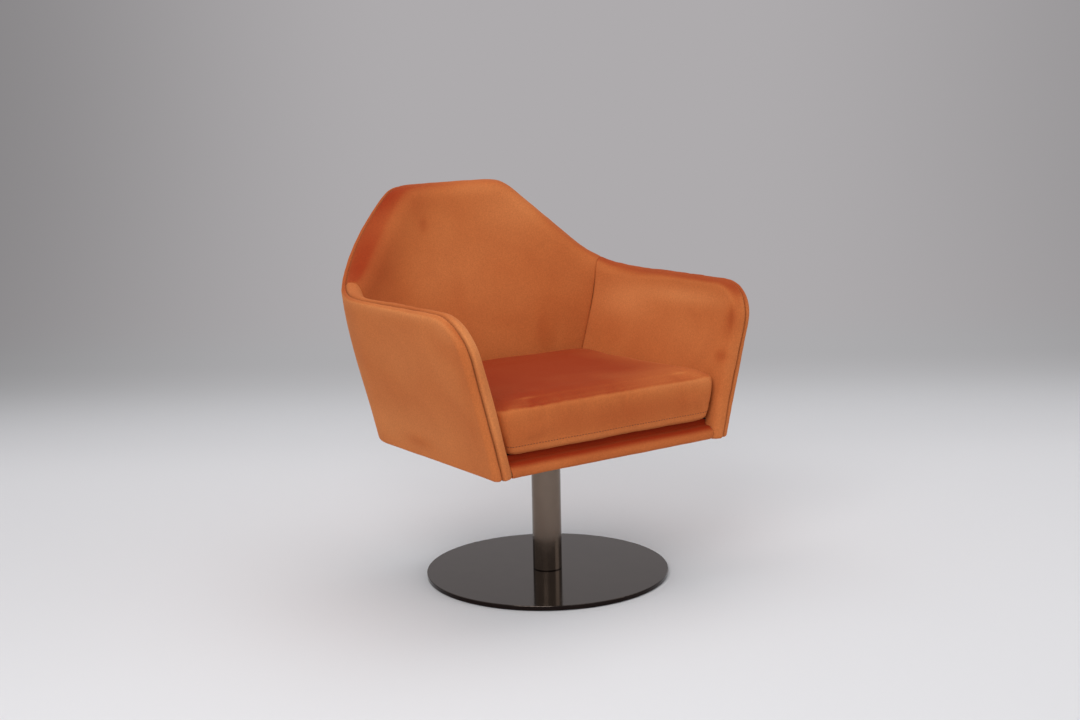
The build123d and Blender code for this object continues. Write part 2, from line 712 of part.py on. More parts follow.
def cushion_outline(height, inset, front_corner):
    """The cushion's plan at a height: the tub's inside, with a rounded front."""
    plan = plan_at(height)
    start, centre, radius, angle = side_and_corner(plan, SHELL_THICKNESS + CUSHION_GAP + inset)
    meet = polar(centre, radius, angle)
    seam_angle = radians(plan[6]) - CUSHION_CORNER_GAP / radius
    middle = polar(centre, radius, (angle + seam_angle) / 2)
    seam = polar(centre, radius, seam_angle)
    back = (0, plan[5] - CUSHION_BACK_GAP - inset)
    front = FRONT + CUSHION_FRONT_SETBACK + inset
    lean = (meet[0] - start[0]) / (meet[1] - start[1])
    turn = pi / 2 - atan2(lean, 1)
    reach = front_corner * tan(turn / 2)
    corner = (start[0] + lean * (front - start[1]), front)
    low = (corner[0] - reach, front)
    high = (corner[0] + reach * lean, front + reach)
    bulge = polar((low[0], front + front_corner), front_corner, -pi / 4)
    edges = [(low, bulge, high), (high, meet), (meet, middle, seam), (seam, back, flip(seam))]
    return Pos(0, 0, height) * half_and_mirror(edges, low)


def cushion_block(inset):
    """The cushion's sides: drawn in at the foot, between the seams and at the upper seam."""
    outlines = []
    for share, tuck in BORDER_STEPS:
        height = CUSHION_BOTTOM + share * CUSHION_HEIGHT
        corner = CUSHION_FOOT_CORNER + share * (CUSHION_SEAM_CORNER - CUSHION_FOOT_CORNER)
        outlines.append(cushion_outline(height, tuck + inset, corner - inset))
    return Solid.make_loft(outlines)


def crown_block(drop):
    """The cushion's crown over its upper seam, steep at the edge and flat in the middle."""
    base = cushion_outline(CUSHION_SEAM, CUSHION_SEAM_TUCK + drop, CUSHION_SEAM_CORNER - drop)
    middle = (FRONT + INNER_BACK_SEAT) / 2
    outlines = []
    for scale, rise in CROWN_STEPS:
        height = (CUSHION_CROWN - drop) * rise
        moved = Pos(0, -middle, -CUSHION_SEAM) * base
        moved = moved.scale(scale)
        outlines.append(Pos(0, middle, CUSHION_SEAM + height) * moved)
    return Solid.make_loft(outlines)


def cushion_pieces():
    """The foam core, and the top, border and underside of its cover."""
    outside, inside = cushion_block(0), cushion_block(CUSHION_COVER)
    crown, under_crown = crown_block(0), crown_block(CUSHION_COVER)
    floor = slab(0, CUSHION_BOTTOM + CUSHION_COVER)
    border = (outside - inside) - floor
    core = (inside - floor) + under_crown
    return one(core), one(crown - under_crown), one(border), one(outside & floor)


# ---------------------------------------------------------------- all pieces


def chair():
    """Every piece of the chair by its name."""
    cover, lining, panels, padding = tub_layers()
    front = Solid.make_loft([seam_outline(plan) for plan in PLANS])
    pieces = {
        "floor_pad": floor_pad(),
        "base_disc": base_disc(),
        "column_tube": column_tube(),
        "foot_plug": foot_plug(),
        "foot_screws": foot_screws(),
        "bearing_housing": bearing_housing(),
        "lower_bush": bush(HOUSING_BOTTOM, -1),
        "upper_bush": bush(HOUSING_TOP, 1),
        "lower_race": race(HOUSING_TOP),
        "upper_race": race(UPPER_RACE_BOTTOM),
        "ball_cage": ball_cage(),
        "bearing_balls": bearing_balls(),
        "swivel_spindle": swivel_spindle(),
        "spindle_washer": spindle_washer(),
        "circlip": circlip(),
        "swivel_plate": swivel_plate(),
        "plate_bolts": plate_bolts(),
        "barrel_nuts": barrel_nuts(),
        "seat_board": seat_board(),
        "front_rail": front_rail(),
        "front_apron": front_apron(),
        "cleat_screws": cleat_screws(),
        "deck_foam": deck_foam(),
        "deck_cloth": deck_cloth(),
        "dust_cloth": dust_cloth(),
        "outer_cover": cover,
    }
    names = ("left_cleat", "right_cleat", "back_cleat")
    pieces.update(zip(names, cleats()))
    for layer, shape in (("panel", panels), ("padding", padding), ("lining", lining)):
        left, right, back = split_sides(shape, front)
        pieces["left_arm_" + layer] = left
        pieces["right_arm_" + layer] = right
        pieces["back_" + layer] = back
    names = ("cushion_core", "cushion_top_cover", "cushion_border", "cushion_underside")
    pieces.update(zip(names, cushion_pieces()))
    return pieces


os.makedirs("parts", exist_ok=True)
for name, piece in chair().items():
    export_step(piece, os.path.join("parts", name + ".step"))
    print(name, len(piece.solids()), round(piece.volume))
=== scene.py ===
import json
import math

import bmesh
import bpy
import numpy as np
from mathutils import Matrix, Vector, kdtree, noise


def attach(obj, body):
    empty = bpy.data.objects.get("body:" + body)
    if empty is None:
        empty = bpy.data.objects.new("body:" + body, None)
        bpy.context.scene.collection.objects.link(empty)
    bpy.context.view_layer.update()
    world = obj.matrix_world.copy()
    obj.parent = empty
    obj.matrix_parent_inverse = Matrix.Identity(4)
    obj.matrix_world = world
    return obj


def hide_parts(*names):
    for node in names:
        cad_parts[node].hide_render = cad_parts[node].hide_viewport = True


# A pedestal swivel armchair, in metres. +Z is up, the front faces -Y, and the origin is on the
# floor, on the swivel axis. The CAD frame carries the metal and the timber; this add-on makes
# the velvet upholstery over it, gives every piece its finish, and sets up the studio.

bl_info = {
    "name": "Swivel tub armchair",
    "version": (1, 0, 0),
    "blender": (4, 5, 0),
    "location": "View3D > Sidebar > Tub armchair",
    "description": "Builds the upholstery, the finishes and the studio round the chair's frame",
    "category": "Object",
}

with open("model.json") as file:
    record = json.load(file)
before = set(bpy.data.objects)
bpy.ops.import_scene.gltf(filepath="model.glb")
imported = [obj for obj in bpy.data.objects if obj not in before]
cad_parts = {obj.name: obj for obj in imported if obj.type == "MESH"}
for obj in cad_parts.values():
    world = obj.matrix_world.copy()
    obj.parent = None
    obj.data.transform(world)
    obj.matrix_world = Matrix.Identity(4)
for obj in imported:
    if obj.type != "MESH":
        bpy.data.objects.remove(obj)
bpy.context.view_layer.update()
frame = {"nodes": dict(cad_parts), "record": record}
MM = 0.001

# ---- the tub's shape: the same values as the frame's source, in metres ----
# Each plan: height, half width at the front and rear, back, corner, inner back, seam angle.
PLANS = np.array([
    (0.286, 0.289, 0.276, 0.300, 0.142, 0.222, 18.0),
    (0.430, 0.326, 0.314, 0.323, 0.168, 0.236, 23.0),
    (0.575, 0.364, 0.367, 0.343, 0.247, 0.273, 31.0),
    (0.800, 0.384, 0.362, 0.361, 0.321, 0.320, 36.0),
])
FRONT = -0.238
SHELL = 0.042
TUB_BOTTOM, ARM_HEIGHT, BACK_HEIGHT = 0.286, 0.595, 0.791
NOSE_RADIUS = 0.082
RAMP_DIRECTION, RAMP_SLOPE = math.radians(50), math.radians(42)
RAMP_FOOT, RAMP_BLEND, CREST_BLEND = -0.108, 0.230, 0.055
FOOT_ROUND = 0.005
HEM = 0.005
DISC_TOP = 0.0105
BOARD_TOP, DECK_TOP = 0.31908, 0.32508
RAIL_BACK, LIP_FRONT, LIP_TOP = -0.206, -0.231, 0.312
LIP_BULGE, LIP_DEPTH, LIP_FOOT = -0.2362, 0.018, 0.008
CUSHION_BOTTOM, CUSHION_HEIGHT, CUSHION_CROWN = 0.32538, 0.088, 0.014
FOOT_CORNER, FOOT_LIFT = 0.028, 0.8
CUSHION_SETBACK, CUSHION_GAP, CUSHION_BACK_GAP, CUSHION_CORNER_GAP = 0.009, 0.003, 0.014, 0.006

# ---- how a wall is unrolled: the run of its side, its corner and its half of the back ----
SIDE_RUN, CORNER_RUN, BACK_RUN = 0.33, 0.13, 0.29
SEAM_RUN = SIDE_RUN + CORNER_RUN
WALL_RUN = SEAM_RUN + BACK_RUN
WALL_FOOT = TUB_BOTTOM + FOOT_ROUND


# ---------------------------------------------------------------- shape of the tub


def plan_at(height, known={}):
    """The tub's plan at a height, on the smooth curve through its four plans."""
    key = round(height, 6)
    if key not in known:
        total = np.zeros(PLANS.shape[1])
        for row in PLANS:
            share = 1.0
            for other in PLANS:
                if other[0] != row[0]:
                    share *= (height - other[0]) / (row[0] - other[0])
            total += share * row
        known[key] = total
    return known[key]


def polar(centre, radius, angle):
    return centre[0] + radius * math.cos(angle), centre[1] + radius * math.sin(angle)


def side_and_corner(height, inset):
    """The side's front end, and the rear corner's circle up to the angle where they meet."""
    _, front_half, rear_half, back, corner, _, _ = plan_at(height)
    radius = corner - inset
    centre = (rear_half - corner, back - corner)
    across, along = front_half - inset - centre[0], FRONT - centre[1]
    angle = math.atan2(along, across) + math.acos(radius / math.hypot(across, along))
    return (front_half - inset, FRONT), centre, radius, angle


def back_arc(centre, radius, angle, inner_back, share):
    """A point on the inner back, an arc from the corner's seam to the middle."""
    seam = polar(centre, radius, angle)
    sag = inner_back - seam[1]
    bend = (seam[0] ** 2 + sag ** 2) / (2 * sag)
    turn = math.asin(seam[0] / bend) * (1 - share)
    return bend * math.sin(turn), inner_back - bend + bend * math.cos(turn)


def wall_point(run, height, inner, inset=0.0):
    """A point of the right half's outer or inner wall, at a run from the front and a height."""
    start, centre, radius, angle = side_and_corner(height, inset + (SHELL if inner else 0))
    plan = plan_at(height)
    seam_angle = math.radians(plan[6])
    if run <= SIDE_RUN:
        meet, share = polar(centre, radius, angle), run / SIDE_RUN
        x, y = (a + (b - a) * share for a, b in zip(start, meet))
    elif run <= SEAM_RUN:
        x, y = polar(centre, radius, angle + (seam_angle - angle) * (run - SIDE_RUN) / CORNER_RUN)
    elif inner:
        share = (run - SEAM_RUN) / BACK_RUN
        x, y = back_arc(centre, radius, seam_angle, plan[5] - inset, share)
    else:
        arc = radius * (math.pi / 2 - seam_angle)
        part = (run - SEAM_RUN) / BACK_RUN * (arc + centre[0])
        if part < arc:
            x, y = polar(centre, radius, seam_angle + part / radius)
        else:
            x, y = max(centre[0] - (part - arc), 0.0), plan[3] - inset
    return Vector((x, y, height))


def ramp_height(x, y):
    """The rim's height over a point: arm, hollow, slope, shoulder and crest."""
    along = y * math.cos(RAMP_DIRECTION) - abs(x) * math.sin(RAMP_DIRECTION)
    slope = math.tan(RAMP_SLOPE)
    head = RAMP_FOOT + (BACK_HEIGHT - ARM_HEIGHT) / slope
    hollow = RAMP_FOOT - RAMP_BLEND * math.tan(RAMP_SLOPE / 2)
    crest = head + CREST_BLEND * math.tan(RAMP_SLOPE / 2)
    if along <= hollow:
        return ARM_HEIGHT
    if along <= hollow + RAMP_BLEND * math.sin(RAMP_SLOPE):
        return ARM_HEIGHT + RAMP_BLEND - math.sqrt(RAMP_BLEND ** 2 - (along - hollow) ** 2)
    if along <= crest - CREST_BLEND * math.sin(RAMP_SLOPE):
        return ARM_HEIGHT + (along - RAMP_FOOT) * slope
    if along <= crest:
        return BACK_HEIGHT - CREST_BLEND + math.sqrt(CREST_BLEND ** 2 - (crest - along) ** 2)
    return BACK_HEIGHT


def rim_top(run, inner):
    """The run and height of the rim's edge over a run."""
    height = ARM_HEIGHT
    for _ in range(14):
        point = wall_point(run, height, inner)
        height = ramp_height(point.x, point.y)
    return run, height


def nose_point(angle, inner):
    """The run and height of a point on an arm's rounded front upper corner."""
    y = FRONT + NOSE_RADIUS * (1 - math.cos(angle))
    height = ARM_HEIGHT - NOSE_RADIUS * (1 - math.sin(angle))
    _, centre, radius, turn = side_and_corner(height, SHELL if inner else 0)
    meet = polar(centre, radius, turn)[1]
    return SIDE_RUN * (y - FRONT) / (meet - FRONT), height


FRONT_STEPS, NOSE_STEPS, SIDE_STEPS, CORNER_STEPS, BACK_STEPS = 18, 12, 22, 14, 24
NOSE_MIDDLE = FRONT_STEPS + NOSE_STEPS // 2
SEAM_STATION = FRONT_STEPS + NOSE_STEPS + SIDE_STEPS + CORNER_STEPS + 1
SEAM_SIDE = 0.0032            # the last cloth before the corner's seam


def rim_path(inner):
    """The rim's edge from an arm's foot to the middle of the back, as runs and heights."""
    low, high = WALL_FOOT, ARM_HEIGHT - NOSE_RADIUS
    path = [(0.0, low + (high - low) * i / FRONT_STEPS) for i in range(FRONT_STEPS)]
    path += [nose_point(math.pi / 2 * i / NOSE_STEPS, inner) for i in range(NOSE_STEPS)]
    start = nose_point(math.pi / 2, inner)[0]
    runs = [start + (SIDE_RUN - start) * i / SIDE_STEPS for i in range(SIDE_STEPS)]
    runs += [SIDE_RUN + CORNER_RUN * i / CORNER_STEPS for i in range(CORNER_STEPS)]
    runs += [SEAM_RUN - SEAM_SIDE, SEAM_RUN, SEAM_RUN + SEAM_SIDE]
    runs += [SEAM_RUN + BACK_RUN * i / BACK_STEPS for i in range(1, BACK_STEPS + 1)]
    return path + [rim_top(run, inner) for run in runs]


def path_normals(path):
    """Unit directions into the wall, square to the path in the unrolled wall."""
    points = np.array(path)
    along = np.gradient(points, axis=0)
    along[-1] = (1.0, 0.0)
    along[0] = (0.0, 1.0)
    along /= np.linalg.norm(along, axis=1)[:, None]
    return np.stack([along[:, 1], -along[:, 0]], axis=1)


def inset_path(path, normals, inner, depths):
    """The path moved into the wall by a real depth at each of its points.

    Beyond the nose it moves straight down, so that a seam across the rim stays straight."""
    moved = []
    for i, ((run, height), normal, depth) in enumerate(zip(path, normals, depths)):
        if i > FRONT_STEPS + NOSE_STEPS:
            normal, depth = (0.0, -1.0), -depth / normal[1]
        here = wall_point(run, height, inner)
        trial = wall_point(run + normal[0] * depth, height + normal[1] * depth, inner)
        step = depth * depth / max((trial - here).length, 1e-9)
        moved.append((run + normal[0] * step, height + normal[1] * step))
    return moved


def arc_point(start, corner, end, share):
    """A point of the round that joins two directions at a corner."""
    weight = math.cos(math.pi / 4)
    a, b, c = (1 - share) ** 2, 2 * weight * share * (1 - share), share ** 2
    return (start * a + corner * b + end * c) / (a + b + c)


class Rim:
    """Everything that the rim's pieces share: edges, directions and the walls' own edges."""

    def __init__(self, sizes):
        self.sizes = sizes
        self.paths = [rim_path(inner) for inner in (False, True)]
        self.normals = [path_normals(path) for path in self.paths]
        edges = [[wall_point(*place, inner) for place in self.paths[inner]] for inner in (0, 1)]
        self.outer, self.inner = edges
        self.across = [(b - a).normalized() for a, b in zip(*edges)]
        self.up = []
        for i, across in enumerate(self.across):
            before = self.outer[max(i - 1, 0)]
            after = self.outer[min(i + 1, len(self.outer) - 1)]
            if i == len(self.outer) - 1:
                after = Vector((-before.x, before.y, before.z))
            self.up.append((after - before).cross(across).normalized())

    def softness(self, station):
        """0 on the arms, where the lining's edge is crisp, to 1 round the back, where it rolls."""
        start, full = FRONT_STEPS + NOSE_STEPS + 8, SEAM_STATION - 2
        share = min(max((station - start) / (full - start), 0.0), 1.0)
        return share * share * (3 - 2 * share)

    def roll(self, station, crisp, soft):
        return crisp + (soft - crisp) * self.softness(station)

    def inset(self, inner, depth):
        """The path moved into the wall: by one depth, or by a pair for arms and back."""
        pair = depth if isinstance(depth, tuple) else (depth, depth)
        depths = [self.roll(i, *pair) for i in range(len(self.paths[inner]))]
        return inset_path(self.paths[inner], self.normals[inner], bool(inner), depths)

    def inner_edge(self):
        """Where the lining's plain wall starts."""
        return self.inset(1, (self.sizes.inner_field, self.sizes.inner_field_back))

    def on_wall(self, inner, depth):
        return [wall_point(*place, bool(inner)) for place in self.inset(inner, depth)]

    def seam(self, station, toward, down):
        """A point by the rim's seam: towards the lining or the cover, and down into it."""
        sizes = self.sizes
        inset = self.roll(station, sizes.seam_inset, sizes.seam_inset_back) + toward
        if down > 0:
            down *= self.roll(station, 1.0, sizes.seam_depth_back / sizes.seam_depth)
        return self.outer[station] + self.across[station] * inset - self.up[station] * down

    def cover_rows(self):
        """The outer cover's edge: from the wall over the rim and down into the seam."""
        sizes = self.sizes
        start = self.on_wall(0, (sizes.wrap, sizes.wrap_back))
        rows = [self.on_wall(0, sizes.field), start]
        tops = [self.outer[i] + self.across[i] * self.roll(i, sizes.wrap, sizes.wrap_back)
                for i in range(len(start))]
        for share in (0.17, 0.34, 0.5, 0.66, 0.83, 1.0):
            rows.append([arc_point(*parts, share) for parts in zip(start, self.outer, tops)])
        rows.append([self.seam(i, -sizes.lap, sizes.dip) for i in range(len(start))])
        rows.append([self.seam(i, sizes.tuck, sizes.seam_depth) for i in range(len(start))])
        return rows

    def lining_rows(self):
        """The lining's edge: up out of the seam, over the rim and onto the inner wall."""
        sizes = self.sizes
        count = len(self.outer)
        rows = [[self.seam(i, -sizes.tuck, sizes.seam_depth) for i in range(count)]]
        rows.append([self.seam(i, sizes.lap, sizes.dip) for i in range(count)])
        rows.append([self.seam(i, 0.0042, -0.7 * sizes.crown) for i in range(count)])
        start = [self.inner[i] - self.across[i] * self.roll(i, sizes.roll, sizes.roll_back)
                 for i in range(count)]
        middle = []
        for i in range(count):
            middle.append((self.seam(i, 0, 0) + start[i]) / 2 + self.up[i] * sizes.crown)
        rows.append(middle)
        rows.append([start[i] + self.up[i] * sizes.crown * 0.4 for i in range(count)])
        end = self.on_wall(1, (sizes.roll, sizes.roll_down))
        for share in (0.2, 0.4, 0.6, 0.8, 1.0):
            rows.append([
                arc_point(start[i] + self.up[i] * sizes.crown * 0.4 * (1 - share),
                          self.inner[i], end[i], share)
                for i in range(count)
            ])
        rows.append([wall_point(*place, True) for place in self.inner_edge()])
        return rows


# ---------------------------------------------------------------- mesh helpers


def lengths(line):
    """How far along a line each of its points lies."""
    points = np.array([tuple(p) for p in line], float)
    steps = np.linalg.norm(np.diff(points, axis=0), axis=1)
    return np.concatenate([[0], np.cumsum(steps)])


def shares(line):
    """The same, from 0 at the line's start to 1 at its end."""
    along = lengths(line)
    return along / along[-1]


def field(bottom, top, front, end, inner, rounds=120):
    """Rows of wall points between four edges in the unrolled wall, evened out."""
    bottom, top, front, end = (np.array(edge, float) for edge in (bottom, top, front, end))
    u = ((shares(bottom) + shares(top)) / 2)[None, :, None]
    v = ((shares(front) + shares(end)) / 2)[:, None, None]
    grid = (1 - v) * bottom[None] + v * top[None] + (1 - u) * front[:, None] + u * end[:, None]
    grid -= (1 - u) * (1 - v) * bottom[0] + u * (1 - v) * bottom[-1]
    grid -= (1 - u) * v * top[0] + u * v * top[-1]
    for _ in range(rounds):
        around = grid[:-2, 1:-1] + grid[2:, 1:-1] + grid[1:-1, :-2] + grid[1:-1, 2:]
        grid[1:-1, 1:-1] = around / 4
    return [[wall_point(run, height, inner) for run, height in row] for row in grid]


def add_grid(mesh, rows, marks=None, shadows=None):
    """A grid whose vertices stand at the given rows of points, marked where asked.

    Rows that lie down in a seam have a shadow, from 0 to 1."""
    count = (len(rows[0]) - 1, len(rows) - 1)
    layer, groove = (mesh.verts.layers.float.get(name) or mesh.verts.layers.float.new(name)
                     for name in ("mark", "seam"))
    made = bmesh.ops.create_grid(mesh, x_segments=count[0], y_segments=count[1], size=0.5)
    places = [(v, round((v.co.y + 0.5) * count[1]), round((v.co.x + 0.5) * count[0]))
              for v in made["verts"]]
    for vert, row, column in places:
        vert.co = rows[row][column]
        vert[groove] = (shadows or {}).get(row, 0.0)
        if marks:
            vert[layer] = marks(row, column)


SEAM_ON_RIM = 0.6             # mark of a seam's vertices where it is drawn tight over the rim
CORNER_SHADOW = 0.30          # a corner's seam looks fainter than the rim's


def close_seam(mesh, sizes):
    """Turns the marked open edge down into the seam, as two panels sewn together do."""
    layer, groove = (mesh.verts.layers.float.get(name) for name in ("mark", "seam"))
    mesh.normal_update()
    edges = [e for e in mesh.edges if e.is_boundary and all(v[layer] > 0.5 for v in e.verts)]
    verts = {v for e in edges for v in e.verts}
    moves = {}
    for vert in verts:
        inside = sum((f.calc_center_median() for f in vert.link_faces), Vector())
        inside = inside / len(vert.link_faces) - vert.co
        inside -= vert.normal * inside.dot(vert.normal)
        moves[tuple(round(c, 6) for c in vert.co)] = (vert.normal.copy(), inside.normalized())
    made = bmesh.ops.extrude_edge_only(mesh, edges=edges)["geom"]
    for vert in [v for v in made if isinstance(v, bmesh.types.BMVert)]:
        normal, inside = moves[tuple(round(c, 6) for c in vert.co)]
        vert.co -= normal * sizes.corner_depth + inside * sizes.tuck
        vert[groove] = CORNER_SHADOW
    for vert in verts:
        normal, inside = moves[tuple(round(c, 6) for c in vert.co)]
        share = 0.1 if vert[layer] <= SEAM_ON_RIM + 0.01 else 0.3
        vert.co += (inside * sizes.lap - normal * sizes.dip) * share


def turn_under(mesh, foot, radius, hem):
    """Rounds the skin's foot and turns it under, as cloth pulled over a board's edge."""
    mesh.normal_update()
    edges = [e for e in mesh.edges
             if e.is_boundary and all(abs(v.co.z - foot - radius) < 1e-5 for v in e.verts)]
    here = {tuple(round(c, 6) for c in v.co): v for e in edges for v in e.verts}
    start = {}
    for key, vert in here.items():
        flat = Vector((vert.normal.x, vert.normal.y, 0)).normalized()
        start[key] = (vert.co.copy(), flat)
    steps = [(math.radians(a), 0) for a in (25, 50, 75, 90)] + [(math.pi / 2, hem)]
    trail = {key: key for key in start}
    for angle, extra in steps:
        made = bmesh.ops.extrude_edge_only(mesh, edges=edges)["geom"]
        edges = [g for g in made if isinstance(g, bmesh.types.BMEdge)]
        renamed = {}
        for vert in [g for g in made if isinstance(g, bmesh.types.BMVert)]:
            origin, flat = start[trail[tuple(round(c, 6) for c in vert.co)]]
            name = trail[tuple(round(c, 6) for c in vert.co)]
            vert.co = origin - flat * (radius * (1 - math.cos(angle)) + extra)
            vert.co.z = foot + radius * (1 - math.sin(angle))
            renamed[tuple(round(c, 6) for c in vert.co)] = name
        trail = renamed


def mirrored(points):
    """The same points on the chair's other side."""
    return [Vector((-p.x, p.y, p.z)) for p in points]


def mirror_half(mesh):
    """Adds the other half of the chair, joined along the middle."""
    for vert in mesh.verts:
        if abs(vert.co.x) < 1e-4:
            vert.co.x = 0
    bmesh.ops.mirror(mesh, geom=mesh.verts[:] + mesh.edges[:] + mesh.faces[:],
                     matrix=Matrix.Identity(4), merge_dist=1e-5, axis="X")
    bmesh.ops.remove_doubles(mesh, verts=mesh.verts, dist=1e-5)


def face_from(mesh, away):
    """Turns all faces one way: away from the chair's middle, or towards it."""
    bmesh.ops.recalc_face_normals(mesh, faces=mesh.faces)
    total = 0.0
    for face in mesh.faces:
        centre = face.calc_center_median()
        total += face.normal.dot(centre - Vector((0, 0, 0.45))) * face.calc_area()
    if (total > 0) != away:
        bmesh.ops.reverse_faces(mesh, faces=mesh.faces)


def add_object(name, mesh):
    """A new object of a finished bmesh, at the origin."""
    data = bpy.data.meshes.new(name)
    mesh.to_mesh(data)
    mesh.free()
    made = bpy.data.objects.new(name, data)
    bpy.context.scene.collection.objects.link(made)
    data.shade_smooth()
    return made


def settle(made):
    """Puts the modifiers' result into the object's own mesh."""
    bpy.context.view_layer.update()
    result = bpy.data.meshes.new_from_object(
        made.evaluated_get(bpy.context.evaluated_depsgraph_get()))
    old = made.data
    made.modifiers.clear()
    made.data = result
    bpy.data.meshes.remove(old)
    result.name = made.name
    result.shade_smooth()


def thicken(made, thickness, levels=1):
    """Gives a skin its thickness, inwards, and one round of subdivision."""
    wall = made.modifiers.new("thickness", "SOLIDIFY")
    wall.thickness, wall.offset, wall.use_even_offset = thickness, -1, False
    smooth = made.modifiers.new("smooth", "SUBSURF")
    smooth.levels = smooth.render_levels = levels
    settle(made)


def coordinates(made):
    flat = np.empty(len(made.data.vertices) * 3)
    made.data.vertices.foreach_get("co", flat)
    return flat.reshape(-1, 3)


def set_coordinates(made, points):
    made.data.vertices.foreach_set("co", points.ravel())
    made.data.update()


def vertex_normals(made):
    flat = np.empty(len(made.data.vertices) * 3)
    made.data.vertex_normals.foreach_get("vector", flat)
    return flat.reshape(-1, 3)


def paint(made, name, values):
    """Stores a number for each vertex, which the cloth's material reads."""
    layer = made.data.attributes.get(name) or made.data.attributes.new(name, "FLOAT", "POINT")
    layer.data.foreach_set("value", np.asarray(values, np.float32))


def dress(made, body, slot, material, *nodes):
    """Gives a piece its finish and body, and hides the CAD nodes it stands for."""
    made.data.materials.clear()
    made.data.materials.append(material)
    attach(made, body)
    if nodes:
        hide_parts(*nodes)
    return made


# ---------------------------------------------------------------- cloth details


def line_distance(points, line):
    """For each point: its distance from a line of points, and the length along the line."""
    length = lengths(line)
    line = np.array([tuple(p) for p in line])
    dense = np.arange(0, length[-1], 2 * MM)
    fine = np.stack([np.interp(dense, length, line[:, k]) for k in range(3)], axis=1)
    tree = kdtree.KDTree(len(fine))
    for i, place in enumerate(fine):
        tree.insert(place, i)
    tree.balance()
    found = [tree.find(p) for p in points]
    return np.array([f[2] for f in found]), dense[[f[1] for f in found]]


def wave(along, size, seed):
    """A smooth irregular wave along a seam, from -1 to 1."""
    return np.array([noise.noise(Vector((a / size, seed * 7.3, 0.5))) for a in along])


def pucker(made, lines, depth, reach, seed):
    """Draws the cloth in beside its seams, unevenly, as thread pulls it."""
    points, normals = coordinates(made), vertex_normals(made)
    push = np.zeros(len(points))
    for k, line in enumerate(lines):
        distance, along = line_distance(points, line)
        near = np.exp(-(distance / reach) ** 2)
        close = np.exp(-(distance / (0.35 * reach)) ** 2)
        ripple = wave(along, 0.016, seed + k) + 0.6 * wave(along, 0.041, seed + k + 5)
        push += depth * near * (1 - 0.8 * close) * np.maximum(ripple + 0.25, -0.25)
    set_coordinates(made, points + normals * push[:, None])


def crease(made, folds):
    """Soft folds, given one by one: start, end, width, height and how far each side rises."""
    points, normals = coordinates(made), vertex_normals(made)
    push = np.zeros(len(points))
    for start, end, width, height in folds:
        start, end = np.array(start), np.array(end)
        along = end - start
        share = ((points - start) @ along) / (along @ along)
        nearest = start + np.clip(share, 0, 1)[:, None] * along
        distance = np.linalg.norm(points - nearest, axis=1)
        fade = np.clip(1 - np.abs(2 * share - 1), 0, 1) ** 0.5
        fade = np.where((share > 0) & (share < 1), fade, 0)
        push += height * fade * np.exp(-(distance / width) ** 2)
    set_coordinates(made, points + normals * push[:, None])


def soften(made, amount, size, seed):
    """Slight unevenness of padding under cloth."""
    points, normals = coordinates(made), vertex_normals(made)
    offset = Vector((seed * 3.1, seed * 1.7, seed * 0.9))
    push = np.array([noise.noise(Vector(p) / size + offset) for p in points])
    push = np.maximum(push + 0.3, -0.1) * amount
    set_coordinates(made, points + normals * push[:, None])


# ---------------------------------------------------------------- materials


def linear(code):
    """An sRGB hex colour as linear red, green, blue and alpha."""
    parts = [int(code[i:i + 2], 16) / 255 for i in (1, 3, 5)]
    parts = [p / 12.92 if p <= 0.04045 else ((p + 0.055) / 1.055) ** 2.4 for p in parts]
    return (*parts, 1.0)


def add_node(material, kind, settings=None, inputs=None):
    """One node with its settings, and its inputs as values or as other nodes' outputs."""
    made = material.node_tree.nodes.new("ShaderNode" + kind)
    for name, value in (settings or {}).items():
        setattr(made, name, value)
    for name, value in (inputs or {}).items():
        if isinstance(value, bpy.types.NodeSocket):
            material.node_tree.links.new(value, made.inputs[name])
        else:
            made.inputs[name].default_value = value
    return made


def new_material(name):
    """An empty material, its Principled shader, and its Object coordinates."""
    made = bpy.data.materials.new(name)
    made.use_nodes = True
    shader = made.node_tree.nodes["Principled BSDF"]
    place = add_node(made, "TexCoord").outputs["Object"]
    return made, shader, place


def link(material, output, target):
    material.node_tree.links.new(output, target)


def scale_of(millimetres):
    """A noise texture's scale for features of a real size."""
    return 1000.0 / millimetres


